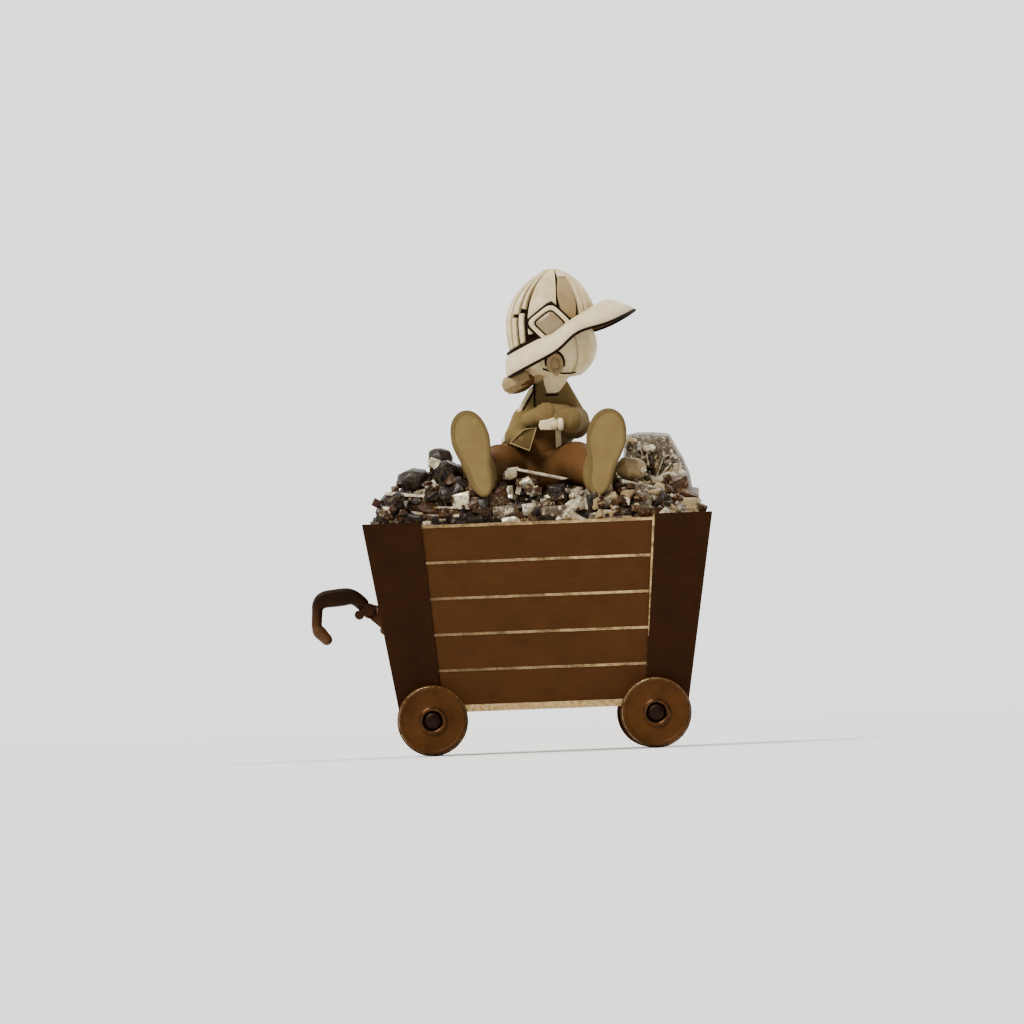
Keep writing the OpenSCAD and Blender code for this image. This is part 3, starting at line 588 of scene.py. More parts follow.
def dress_cart():
    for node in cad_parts:
        if node.startswith(("front_plank", "back_plank")) or node.endswith("_planks"):
            dress(node, "plank", 0.22)
        elif node.startswith("strap_"):
            dress(node, "strap", 0.3)
        elif node.startswith("wheel_"):
            dress(node, "wheel", 0.12)
        elif node.startswith("bush_"):
            dress(node, "brass")
        elif node.startswith("bolster_") and node != "bolster_screws":
            dress(node, "bolster", 0.3)
    dress("tub_shell", "gilt", 0.08)
    dress("hook_clevis", "bronze", 0.2)
    dress("clevis_rivets", "brass")
    dress("hook_pin", "bronze", 0.12)
    dress("bolster_screws", "steel", 0.1)
    dress("load_screw", "steel", 0.1)
    dress("axle_hook_end", "steel", 0.1)
    dress("axle_tail_end", "steel", 0.1)
    dress("axle_spacers", "steel", 0.1)
    dress("axle_caps", "cap")
    dress("load_casting", "bed")


# ------------------------------------------------------------------ drawhook

HOOK_LOW, HOOK_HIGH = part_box("drawhook")
PIN_LOW, PIN_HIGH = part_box("hook_pin")
PIVOT = from_frame((PIN_LOW + PIN_HIGH) / 2)
HOOK_HEADING = 135      # the bar's direction where it leaves the eye, in degrees
# Stretches of the bar from the eye: straight, bend radius, bend angle
HOOK_ROUTE = [(3.6, 4.5, 50), (4.4, 3.0, 80), (3.4, 3.1, 47), (2.4, 0, 0)]
# The bar's radius at a share of the way from the eye to the tip
BAR_RADII = [(0, 1.75), (0.1, 1.8), (0.34, 2.3), (0.44, 2.2), (0.64, 1.35), (0.74, 1.35), (0.9, 1.7),
             (1, 1.5)]


def paint_strap_edge_highlight():
    """A painted highlight: a line of gilt along the inner edge of the tail-end strap on the front, where the
    light catches it, fading downwards.
    """
    spots = [from_frame(vertex.co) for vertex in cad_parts["strap_front_tail_end"].data.vertices]
    top, bottom = max(p.z for p in spots), min(p.z for p in spots)
    high = min((p for p in spots if p.z > top - 0.3), key=lambda p: p.x + 0.2 * p.y)
    low = min((p for p in spots if p.z < bottom + 0.3), key=lambda p: p.x + 0.2 * p.y)
    line = [high.lerp(low, 0.008 + 0.09 * k) for k in range(8)]
    # painted highlight: a gilt line where the light catches the strap's edge
    gilt = object_from("strap_edge_painted_highlight", *tube(line, [0.3, 0.3, 0.3, 0.28, 0.25, 0.2, 0.14, 0.07], 10))
    finish_piece(gilt, "root", FINISHES["gilt"])


def step_through(table, at):
    """A value read off a table of (place, value) pairs, blended softly between them."""
    for (x0, y0), (x1, y1) in zip(table, table[1:]):
        if at <= x1:
            share = max(0.0, (at - x0) / (x1 - x0))
            return y0 + (y1 - y0) * share * share * (3 - 2 * share)
    return table[-1][1]


def hook_line():
    """The bar's centreline: straights joined by round bends."""
    points = [PIVOT.copy()]
    here, heading = PIVOT.copy(), math.radians(HOOK_HEADING)
    for length, radius, turn in HOOK_ROUTE:
        ahead = Vector((math.cos(heading), 0, math.sin(heading)))
        for k in range(1, 5):
            points.append(here + ahead * length * k / 4)
        here = here + ahead * length
        steps = 10 if turn else 0
        centre = here + radius * Vector((-math.sin(heading), 0, math.cos(heading)))
        for k in range(1, steps + 1):
            angle = heading + math.radians(turn) * k / steps
            points.append(centre + radius * Vector((math.sin(angle), 0, -math.cos(angle))))
        if turn:
            here = points[-1].copy()
            heading += math.radians(turn)
    return points


def make_hook():
    line = hook_line()
    last = len(line) - 1
    radii = []
    for k in range(last + 1):
        radii.append(step_through(BAR_RADII, k / last))
    eye_half = (HOOK_HIGH.y - HOOK_LOW.y) / MM / 2
    bore, eye = 0.95, 1.9
    soft = 0.25
    corners = [(bore, -eye_half + soft), (bore + soft, -eye_half),
               (eye - soft, -eye_half), (eye, -eye_half + soft),
               (eye, eye_half - soft), (eye - soft, eye_half),
               (bore + soft, eye_half), (bore, eye_half - soft)]
    rings = [[PIVOT + Vector((r * math.cos(t), y, r * math.sin(t))) for r, y in corners]
             for t in (2 * math.pi * j / 40 for j in range(40))]
    verts, faces = rings_to_mesh(rings, close_ends=False)
    count = len(corners)
    faces += [(39 * count + j, 39 * count + (j + 1) % count, (j + 1) % count, j) for j in range(count)]
    bar = tube(line[3:], radii[3:], 20)
    flat = object_from("drawhook_bar", *bar)
    for vertex in flat.data.vertices:
        vertex.co.y = max(-eye_half + 0.02, min(eye_half - 0.02, vertex.co.y))
    parts = [(verts, faces), ([v.co.copy() for v in flat.data.vertices],
                              [tuple(p.vertices) for p in flat.data.polygons])]
    bpy.data.objects.remove(flat)
    hook = sculpt("drawhook_forging", parts, 0.14, 5, wobble=0.03, seed=5)
    finish_piece(hook, "hook", FINISHES["bronze"], ["drawhook"])


# ------------------------------------------------------------------ ore

RIM_DRAWN = 57.8      # the rim's height that the stones' levels along the walls are given for
BED = BVHTree.FromObject(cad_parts["load_casting"], bpy.context.evaluated_depsgraph_get())


def bed_height(x, y):
    """Height of the heap at a place, in mm."""
    hit, _, _, _ = BED.ray_cast(to_frame((x, y, RIM + 60)), Vector((0, 0, -1)))
    return hit.z / MM if hit else RIM


def worn_hull(work, flat_angle, width, segments, profile):
    """The hull of a mesh's points with its edges worn round, as (verts, faces). Frees the mesh."""
    bmesh.ops.convex_hull(work, input=work.verts)
    loose = [v for v in work.verts if not v.link_faces]
    bmesh.ops.delete(work, geom=loose, context="VERTS")
    bmesh.ops.dissolve_limit(work, angle_limit=math.radians(flat_angle), verts=work.verts, edges=work.edges)
    bmesh.ops.bevel(work, geom=list(work.edges), offset=width, segments=segments, affect="EDGES",
                    profile=profile, clamp_overlap=True)
    bmesh.ops.triangulate(work, faces=work.faces)
    verts = [v.co.copy() for v in work.verts]
    index = {v: i for i, v in enumerate(work.verts)}
    faces = [tuple(index[v] for v in f.verts) for f in work.faces]
    work.free()
    return verts, faces


def lump(radius, rng, squash, points):
    """A broken stone: the hull of scattered points, with its edges a little worn."""
    work = bmesh.new()
    for _ in range(points):
        direction = Vector((rng.gauss(0, 1), rng.gauss(0, 1), rng.gauss(0, 1))).normalized()
        reach = radius * rng.uniform(0.82, 1.08)
        work.verts.new((direction.x * reach * squash[0], direction.y * reach * squash[1],
                        direction.z * reach * squash[2]))
    return worn_hull(work, 14, radius * 0.07, 2, 0.6)


class Heap:
    """Gathers stones of several kinds into one piece."""

    def __init__(self, name, kinds):
        self.name = name
        self.kinds = kinds
        self.verts, self.faces, self.kind_of = [], [], []

    def add(self, verts, faces, place, turn, kind):
        start = len(self.verts)
        for v in verts:
            spot = turn @ v + Vector(place)
            self.verts.append(spot)
        self.faces.extend([tuple(i + start for i in f) for f in faces])
        self.kind_of.extend([self.kinds.index(kind)] * len(faces))

    def build(self, replaces):
        piece = object_from(self.name, self.verts, self.faces)
        for kind in self.kinds:
            piece.data.materials.append(FINISHES[kind])
        for face, kind in zip(piece.data.polygons, self.kind_of):
            face.material_index = kind
        finish_piece(piece, "root", None, replaces, angle=38)


def any_turn(rng):
    tip = Matrix.Rotation(rng.uniform(0, 2 * math.pi), 3, "X")
    return tip @ Matrix.Rotation(rng.uniform(0, 2 * math.pi), 3, "Z")


ORE_HALF_X = HALF_LEN - 3.4
ORE_HALF_Y = HALF_WID - 3.4

# The stones that show: x, y, height of the middle, half length, half height, kind, form
SHOWN = [
    (-30.2, -15.5, 69.0, 4.8, 4.0, "slate", "round"), (-23.8, -12.0, 74.6, 3.5, 3.2, "slate", "round"),
    (-22.2, -17.5, 70.4, 4.2, 4.0, "black", "round"), (-25.6, -17.5, 73.0, 1.3, 0.5, "bright", "block"),
    (-26.8, -20.3, 67.6, 1.1, 0.9, "bright", "round"), (-24.9, -20.6, 67.7, 1.2, 0.8, "bright", "round"),
    (-35.2, -21.5, 63.4, 4.4, 4.0, "black", "round"), (-38.3, -23.5, 60.2, 2.6, 2.4, "black", "round"),
    (-24.4, -22.0, 64.5, 4.2, 1.5, "slate", "block"), (-27.4, -24.2, 61.8, 4.8, 2.3, "brown", "round"),
    (-18.4, -23.6, 63.8, 2.7, 2.5, "bright", "block"), (-33.4, -25.2, 61.2, 0.9, 0.8, "bright", "block"),
    (-36.6, -25.0, 62.4, 0.9, 0.6, "bright", "block"), (-20.8, -25.3, 60.2, 2.5, 1.7, "brown", "round"),
    (-24.3, -26.0, 59.9, 0.8, 0.8, "bright", "round"), (-14.4, -25.6, 60.8, 0.9, 1.6, "bright", "block"),
    (-12.3, -24.8, 61.4, 1.3, 3.2, "black", "block"), (-30.6, -25.6, 59.4, 2.9, 1.5, "black", "block"),
    (-7.2, -22.4, 65.6, 1.6, 1.7, "bright", "block"), (-9.4, -21.6, 63.6, 3.0, 3.2, "brown", "block"),
    (-5.6, -20.6, 69.4, 1.2, 0.6, "bright", "block"), (-4.2, -21.0, 66.4, 0.7, 2.0, "bright", "block"),
    (-0.7, -21.6, 65.6, 1.9, 1.1, "bright", "block"), (-0.6, -20.4, 68.0, 1.7, 0.9, "brown", "block"),
    (-2.2, -25.0, 60.7, 2.4, 2.0, "bright", "block"), (-7.8, -25.0, 60.6, 3.0, 1.6, "grey", "block"),
    (4.5, -25.0, 60.2, 3.4, 1.5, "grey", "block"), (5.6, -22.0, 64.8, 2.4, 2.6, "black", "block"),
    (2.9, -22.8, 63.2, 0.8, 1.4, "bright", "block"), (9.8, -22.6, 64.6, 0.8, 1.4, "bright", "block"),
    (12.5, -24.6, 61.4, 1.4, 1.8, "bright", "block"), (9.6, -25.2, 61.2, 1.0, 1.5, "bright", "block"),
    (14.4, -24.6, 61.8, 1.9, 2.2, "black", "block"), (17.2, -25.2, 62.0, 1.3, 1.3, "bright", "block"),
    (19.7, -25.2, 60.8, 1.4, 1.4, "bright", "block"), (21.7, -24.6, 61.9, 2.0, 1.9, "black", "round"),
    (24.5, -17.5, 70.2, 4.2, 3.4, "tan", "round"), (24.6, -20.0, 66.4, 5.2, 0.6, "bright", "block"),
    (21.8, -21.6, 65.0, 2.3, 0.9, "brown", "block"), (27.7, -21.8, 63.7, 3.9, 2.5, "grey", "block"),
    (26.3, -24.0, 62.3, 1.3, 1.0, "bright", "block"), (37.0, -18.0, 65.6, 2.2, 2.9, "brown", "block"),
    (33.6, -18.2, 67.6, 2.6, 1.9, "bright", "round"), (34.3, -22.4, 61.2, 1.9, 1.3, "bright", "block"),
    (33.9, -20.6, 63.6, 1.9, 1.1, "black", "round"), (38.6, -23.6, 60.4, 2.7, 1.9, "tan", "block"),
    (27.9, -25.6, 58.9, 3.6, 1.2, "brown", "block"), (31.8, -25.2, 59.8, 1.5, 1.5, "grey", "block"),
]


def chunk(half_x, half_z, form, rng):
    """A stone of a wanted size: a block with skewed faces, or a smooth cobble."""
    work = bmesh.new()
    if form == "block":
        for sx in (-1, 1):
            for sy in (-1, 1):
                for sz in (-1, 1):
                    skew = [rng.uniform(0.72, 1.06) for _ in range(3)]
                    work.verts.new((sx * half_x * skew[0], sy * (half_x + half_z) * 0.55 * skew[1],
                                    sz * half_z * skew[2]))
        for _ in range(3):
            work.verts.new((half_x * rng.uniform(-1.05, 1.05), -(half_x + half_z) * 0.6,
                            half_z * rng.uniform(-0.6, 0.6)))
    else:
        for _ in range(46):
            d = Vector((rng.gauss(0, 1), rng.gauss(0, 1), rng.gauss(0, 1))).normalized()
            d *= rng.uniform(0.94, 1.04)
            work.verts.new((d.x * half_x, d.y * (half_x + half_z) * 0.5, d.z * half_z))
    if form == "block":
        return worn_hull(work, 10, min(half_x, half_z) * 0.09, 2, 0.5)
    return worn_hull(work, 10, min(half_x, half_z) * 0.16, 3, 0.5)


def fill_heap(heap, x0, x1, rows, columns, seed, sizes, mix):
    """Covers a stretch of the bed with stones, jittered about a grid."""
    rng = random.Random(seed)
    names, weights = zip(*mix)
    for i in range(columns):
        for j in range(rows):
            x = x0 + (x1 - x0) * (i + 0.5 + rng.uniform(-0.45, 0.45)) / columns
            y = ORE_HALF_Y * (2 * (j + 0.5 + rng.uniform(-0.45, 0.45)) / rows - 1)
            radius = rng.uniform(*sizes)
            x = max(-ORE_HALF_X + radius * 0.7, min(ORE_HALF_X - radius * 0.7, x))
            y = max(-ORE_HALF_Y + radius * 0.7, min(ORE_HALF_Y - radius * 0.7, y))
            squash = (1, rng.uniform(0.75, 1), rng.uniform(0.65, 0.95))
            kind = rng.choices(names, weights)[0]
            verts, faces = lump(radius, rng, squash, 7 if kind == "bright" else rng.randint(10, 16))
            heap.add(verts, faces, (x, y, bed_height(x, y) + radius * 0.25), any_turn(rng), kind)


# Thin slivers that lie at an angle: x, y, z, half length, half height, degrees that the right end drops
SLIVERS = [(1.4, -22.0, 69.7, 7.2, 0.38, 13.5), (-5.4, -22.0, 71.2, 1.5, 0.45, -8),
           (-31.5, -23.0, 65.6, 6.0, 0.45, 7), (-20.5, -25.6, 62.0, 4.6, 0.4, 3),
           (-27.5, -26.2, 60.6, 4.0, 0.4, 9), (27.0, -23.4, 60.9, 6.0, 0.45, 3),
           (18.0, -24.6, 59.3, 4.0, 0.4, -4), (38.0, -21.0, 62.6, 2.2, 0.4, 30),
           (-35.0, -24.6, 60.4, 2.2, 0.35, 20)]


def add_shown(heap, x0, x1, seed):
    rng = random.Random(seed)
    for x, y, z, half_x, half_z, kind, form in SHOWN:
        if x0 <= x < x1:
            if kind == "bright":
                half_x, half_z = half_x * 0.86, half_z * 0.86
            verts, faces = chunk(half_x, half_z, form, rng)
            lean = Matrix.Rotation(math.radians(rng.uniform(-18, 18)), 3, "Y")
            turn = Matrix.Rotation(math.radians(rng.uniform(-26, 26)), 3, "Z")
            heap.add(verts, faces, (x, y, z), lean @ turn, kind)
            for _ in range(2):
                bit = rng.uniform(0.4, 0.9)
                verts, faces = chunk(bit * rng.uniform(1, 2.2), bit, "block", rng)
                aside = rng.uniform(-1, 1) * (half_x + 0.6)
                place = (x + aside, y - 1.0 - rng.uniform(0.2, 1.0),
                         z + rng.uniform(-1, 0.8) * (half_z + 0.4))
                heap.add(verts, faces, place, any_turn(rng),
                         rng.choice(["bright", "brown", "brown", "black"]))
    for x, y, z, half_x, half_z, drop in SLIVERS:
        if x0 <= x < x1:
            verts, faces = chunk(half_x, half_z, "block", rng)
            flat = [Vector((v.x, v.y * 0.35, v.z)) for v in verts]
            heap.add(flat, faces, (x, y, z), Matrix.Rotation(math.radians(drop), 3, "Y"), "bright")


def make_ore():
    kinds = ["black", "slate", "brown", "grey", "tan", "bright"]
    dark = [("black", 8), ("brown", 5), ("slate", 3), ("bright", 0.9)]
    mixed = [("black", 5), ("brown", 6), ("grey", 3), ("bright", 1.6)]
    pale = [("grey", 5), ("tan", 6), ("brown", 2), ("bright", 3), ("black", 1)]
    zones = (("ore_hook_end", -ORE_HALF_X, -11, dark, 11, (1.9, 3.4), "ore_dark"),
             ("ore_middle", -11, 13, mixed, 23, (1.4, 2.6), "ore_bright"),
             ("ore_tail_end", 13, ORE_HALF_X, pale, 37, (1.6, 3.0), "ore_tan"))
    for node, x0, x1, mix, seed, sizes, slot in zones:
        heap = Heap(node + "_stones", kinds)
        fill_heap(heap, x0, x1, 14, 9, seed, sizes, mix)
        fill_heap(heap, x0, x1, 16, 10, seed + 1, (0.7, 1.5), mix + [("bright", 0.8)])
        line_rim(heap, x0, x1, seed + 3, mix)
        add_shown(heap, x0, x1, seed + 2)
        heap.build([node])
    make_boulder()


def line_rim(heap, x0, x1, seed, mix):
    """Packs stones against the long walls, and the end wall of an end stretch, so that no bed shows there."""
    rng = random.Random(seed)
    names, weights = zip(*mix)
    for side in (-1, 1):
        for level, radius, inset in ((57.8, 1.7, 0.5), (59.0, 1.9, 1.6), (60.6, 2.1, 3.6),
                                     (62.4, 2.3, 6.2)):
            count = int((x1 - x0) / (radius * 1.25))
            for k in range(count):
                x = x0 + (x1 - x0) * (k + 0.5 + rng.uniform(-0.3, 0.3)) / count
                if abs(x) > ORE_HALF_X - 1.2:
                    continue
                half = radius * rng.uniform(0.75, 1.15)
                kind = rng.choices(names, weights)[0]
                form = "block" if kind == "bright" else rng.choice(["block", "round"])
                verts, faces = chunk(half, half * rng.uniform(0.6, 1), form, rng)
                place = (x, side * (ORE_HALF_Y - inset), level * RIM / RIM_DRAWN + rng.uniform(-0.4, 0.4))
                heap.add(verts, faces, place, any_turn(rng), kind)
    for end, at_wall in ((-1, x0 < -ORE_HALF_X + 1), (1, x1 > ORE_HALF_X - 1)):
        for level, radius, inset in ((58.0, 1.8, 0.4), (59.6, 2.0, 2.2), (61.4, 2.3, 4.8)):
            count = int(2 * ORE_HALF_Y / (radius * 1.2)) if at_wall else 0
            for k in range(count):
                y = -ORE_HALF_Y + 2 * ORE_HALF_Y * (k + 0.5 + rng.uniform(-0.3, 0.3)) / count
                half = radius * rng.uniform(0.75, 1.1)
                kind = rng.choices(names, weights)[0]
                verts, faces = chunk(half, half * rng.uniform(0.6, 1), "block", rng)
                place = (end * (ORE_HALF_X - inset), y * (1 - 0.03 * inset),
                         level * RIM / RIM_DRAWN + rng.uniform(-0.4, 0.4))
                heap.add(verts, faces, place, any_turn(rng), kind)


BOULDER_LOW, BOULDER_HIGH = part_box("ore_boulder")


# Outline of the crystalline boulder seen from the front, clockwise from its lower left
BOULDER = [(21.6, 61), (22.2, 72), (23.4, 79.4), (26.6, 80.2), (30.8, 79.9), (34.6, 79.4), (36.2, 76.6),
           (38.2, 72.8), (39.6, 69.0), (40.2, 64.0), (40.3, 60)]


def make_boulder():
    """A crystalline lump with ridges that fan out over its face from near its foot."""
    rng = random.Random(71)
    kinds = ["grey", "bright", "tan", "black"]
    heap = Heap("ore_boulder_crystals", kinds)
    middle = Vector((30.0, 0, 68.0))
    work = bmesh.new()
    for y, share in ((-9.0, 0.72), (-6.4, 0.92), (0.0, 1.0), (7.0, 0.97), (12.5, 0.74)):
        for x, z in BOULDER:
            spread = share * rng.uniform(0.97, 1.0)
            work.verts.new((middle.x + (x - middle.x) * spread, y + rng.uniform(-0.5, 0.5),
                            middle.z + (z - middle.z) * spread))
    bmesh.ops.convex_hull(work, input=work.verts)
    bmesh.ops.delete(work, geom=[v for v in work.verts if not v.link_faces], context="VERTS")
    bmesh.ops.bevel(work, geom=list(work.edges), offset=0.3, segments=2, affect="EDGES", clamp_overlap=True)
    bmesh.ops.triangulate(work, faces=work.faces)
    index = {v: i for i, v in enumerate(work.verts)}
    verts = [v.co.copy() for v in work.verts]
    faces = [tuple(index[v] for v in f.verts) for f in work.faces]
    skin = BVHTree.FromPolygons(verts, faces)
    work.free()
    heap.add(verts, faces, (0, 0, 0), Matrix.Identity(3), "grey")

    def ridge(start, end, half, height, kind, face_y):
        """A sharp-backed crystal laid along the boulder's skin from start to end, both (x, z)."""
        spine = []
        for k in range(7):
            share = k / 6
            x, z = start[0] + (end[0] - start[0]) * share, start[1] + (end[1] - start[1]) * share
            hit = skin.ray_cast(Vector((x, 40 * face_y, z)), Vector((0, -face_y, 0)))[0]
            if hit:
                spine.append((hit, math.sin(math.pi * min(1, share * 1.15 + 0.1)) ** 0.5))
        if len(spine) < 3:
            return
        along = (spine[-1][0] - spine[0][0]).normalized()
        side = along.cross(Vector((0, face_y, 0))).normalized()
        out = Vector((0, face_y, 0))
        verts = []
        for p, grow in spine:
            grow = max(grow, 0.15)
            for a, b in ((-1, -0.5), (-0.35, 0.8), (0.1, 1.0), (1, -0.5)):
                verts.append(p + side * half * a * grow + out * height * b * grow)
        faces = [(3, 2, 1, 0), tuple(range(len(verts) - 4, len(verts)))]
        for r in range(len(spine) - 1):
            for c in range(4):
                a, b = r * 4 + c, r * 4 + (c + 1) % 4
                faces.append((a, b, b + 4, a + 4))
        heap.add(verts, faces, (0, 0, 0), Matrix.Identity(3), kind)

    foot = (29.5, 66.0)
    for face_y in (-1, 1):
        for k in range(15):
            angle = math.radians(-8 + 13.0 * k + rng.uniform(-4, 4))
            near, far = rng.uniform(1.5, 3.0), rng.uniform(9.5, 13.0)
            ray = (math.cos(angle), math.sin(angle))
            begin = (foot[0] + ray[0] * near, foot[1] + ray[1] * near)
            tip = (foot[0] + ray[0] * far * 0.8, foot[1] + ray[1] * far)
            ridge(begin, tip, rng.uniform(0.3, 0.55), rng.uniform(0.5, 1.0),
                  rng.choice(["grey", "tan", "black", "bright"]), face_y)
            for _ in range(4):
                share = rng.uniform(0.3, 0.85)
                fork = angle + math.radians(rng.choice([-1, 1]) * rng.uniform(28, 50))
                root = (begin[0] + (tip[0] - begin[0]) * share, begin[1] + (tip[1] - begin[1]) * share)
                reach = rng.uniform(1.4, 3.2)
                end = (root[0] + math.cos(fork) * reach, root[1] + math.sin(fork) * reach)
                ridge(root, end, rng.uniform(0.2, 0.38), rng.uniform(0.35, 0.7),
                      rng.choice(["grey", "bright", "tan", "black", "black"]), face_y)
        for _ in range(26):
            x, z = rng.uniform(23.5, 37.5), rng.uniform(63, 78.5)
            hit = skin.ray_cast(Vector((x, 40 * face_y, z)), Vector((0, -face_y, 0)))[0]
            if hit:
                half = rng.uniform(0.5, 1.2)
                verts, faces = chunk(half * rng.uniform(1, 1.6), half * 0.7, "block", rng)
                heap.add(verts, faces, hit, any_turn(rng),
                         rng.choice(["grey", "grey", "bright", "black", "tan"]))
    heap.build(["ore_boulder"])


# ------------------------------------------------------------------ miner

def make_trousers():
    parts = [limb((-5, 6, SEAT + 1), 7, (7, 6, SEAT + 1), 7),
             limb((-5, 2, SEAT + 3.4), 6.6, (7, 2, SEAT + 3.4), 6.6)]
    for hip, knee, ankle in (((-4, 3, SEAT + 2.4), (-8.6, -5, SEAT + 4.6), (-13.3, -17, SEAT + 1.6)),
                             ((6, 3, SEAT + 2.4), (10.8, -5, SEAT + 4.6), (15.9, -17, SEAT + 1.0))):
        parts.append(limb(hip, 6.4, knee, 5.5))
        parts.append(limb(knee, 5.5, ankle, 4.1))
    trousers = sculpt("miner_trousers_cloth", parts, 0.4, 8)
    for centre in ((-9, -6, SEAT + 7), (11, -6, SEAT + 7), (-12, -14, SEAT + 3), (14.5, -14, SEAT + 3)):
        pleat(trousers, centre, (0.3, -1, 0.2), 2.3, 0.2, 5)
    pleat(trousers, (1, -1, SEAT + 4), (1, 0.1, 0.3), 3.1, 0.18, 6)
    finish_piece(trousers, "root", FINISHES["trousers"], ["miner_trousers"])


def torso_parts():
    return [limb((0.5, 6, SEAT + 5), 8.4, (2.2, 5.4, SEAT + 11), 7.6),
            limb((-5.2, 3.4, SEAT + 8.6), 3.4, (1.9, 3.8, SEAT + 22.3), 2.6),
            limb((1.9, 3.8, SEAT + 22.3), 2.6, (3.9, 3.6, SEAT + 25.6), 2.2),
            limb((10.8, 3.8, SEAT + 14.8), 4.0, (7.4, 3.8, SEAT + 24.2), 2.5),
            limb((7.4, 3.8, SEAT + 24.2), 2.5, (6.6, 3.6, SEAT + 26.2), 2.2),
            limb((2.0, 4.8, SEAT + 13), 6.4, (4.8, 4.0, SEAT + 21.0), 3.6),
            limb((4.8, 4.0, SEAT + 20.0), 4.4, (5.2, 3.8, SEAT + 25.2), 2.9)]


def make_shirt():
    shirt = sculpt("miner_shirt_cloth", torso_parts(), 0.36, 8)
    pleat(shirt, (-4, 1, SEAT + 14), (1, 0, 0.6), 2.2, 0.2, 6)
    pleat(shirt, (10, 1, SEAT + 16), (1, 0, -0.7), 2.3, 0.2, 6)
    surface = surface_of(shirt)
    finish_piece(shirt, "root", FINISHES["khaki"], ["miner_shirt"])
    return surface


def sleeve(name, node, shoulder, elbow, wrist, radii):
    arm = sculpt(name, [limb(shoulder, radii[0], elbow, radii[1]), limb(elbow, radii[1], wrist, radii[2]),
                        ball(elbow, radii[1] * 1.06)], 0.3, 7)
    bend = (Vector(elbow) - Vector(shoulder)).normalized() + (Vector(wrist) - Vector(elbow)).normalized()
    pleat(arm, elbow, bend, 1.5, 0.22, 4.6)
    pleat(arm, (Vector(elbow) + Vector(wrist)) / 2, Vector(wrist) - Vector(elbow), 1.7, 0.14, 3.4)
    finish_piece(arm, "root", FINISHES["khaki"], [node] if node else ())


def cuff(name, start, end, radius, thick, finish):
    """A turned-back band round a sleeve or an ankle."""
    start, end = Vector(start), Vector(end)
    first, second = side_axes(end - start)
    profile = [(0, radius - thick), (0, radius), (0.12, radius + thick * 0.5), (0.5, radius + thick * 0.66),
               (0.88, radius + thick * 0.5), (1, radius), (1, radius - thick)]
    rings = []
    for share, r in profile:
        middle = start.lerp(end, share)
        rings.append([middle + r * (math.cos(t) * first + math.sin(t) * second)
                      for t in (2 * math.pi * j / 40 for j in range(40))])
    band = object_from(name, *rings_to_mesh(rings))
    modify(band, "BEVEL", width=0.12, segments=2, limit_method="ANGLE", angle_limit=math.radians(50))
    settle(band)
    return finish_piece(band, "root", FINISHES[finish], angle=50)


def hand(name, palm, fingers_to, radius, finish, replaces=()):
    """A gloved fist: a palm, four fingers side by side and a thumb."""
    palm, fingers_to = Vector(palm), Vector(fingers_to)
    ahead = (fingers_to - palm).normalized()
    side = ahead.cross(Vector((0, -1, 0))).normalized()
    parts = [limb(palm, radius, palm + ahead * radius * 0.7, radius * 0.92)]
    for k in range(4):
        offset = side * radius * (k - 1.5) * 0.46 + Vector((0, -radius * 0.45, 0))
        root = palm + ahead * radius * 0.7 + offset
        tip = fingers_to + offset * 0.9 - ahead * abs(k - 1.3) * 0.22
        parts.append(limb(root, radius * 0.31, tip, radius * 0.26, 14, 5))
    thumb = palm + side * radius * 0.9 + Vector((0, -radius * 0.6, 0))
    parts.append(limb(thumb, radius * 0.34, thumb + ahead * radius * 0.9 - side * radius * 0.2,
                      radius * 0.28, 14, 5))
    fist = sculpt(name, parts, 0.16, 3)
    finish_piece(fist, "root", FINISHES[finish], replaces)


def make_arms():
    sleeve("miner_arm_left_sleeve", "miner_arm_left", (-2.0, 3.4, SEAT + 16.2), (-4.4, -1.4, SEAT + 11.8),
           (-2.2, -5.6, SEAT + 11.2), (3.2, 2.6, 2.0))
    sleeve("miner_arm_right_sleeve", "miner_arm_right", (10.8, 3.2, SEAT + 15.6), (9.4, -4.0, SEAT + 15.4),
           (2.6, -6.4, SEAT + 16.6), (3.8, 3.2, 2.5))
    sleeve("miner_forearm_sleeve", None, (8.0, -3.0, SEAT + 16.6), (3.6, -6.2, SEAT + 17.4),
           (-0.6, -4.6, SEAT + 15.8), (3.0, 2.6, 2.2))
    cuff("miner_cuff_right", (7.6, -7.6, SEAT + 14.4), (6.4, -7.8, SEAT + 14.4), 1.4, 0.35, "ivory")
    hand("miner_glove_right", (5.4, -8.0, SEAT + 14.4), (1.8, -8.4, SEAT + 14.3), 1.4, "ivory",
         ["miner_gloves"])


def grid_between(left, right, low, high, columns, rows, y=-20):
    """A grid of points in the plane of the front view. left and right give an edge's x at a height."""
    grid = []
    for r in range(rows + 1):
        z = low + (high - low) * r / rows
        x0, x1 = left(z), right(z)
        grid.append([(x0 + (x1 - x0) * c / columns, y, z) for c in range(columns + 1)])
    return grid


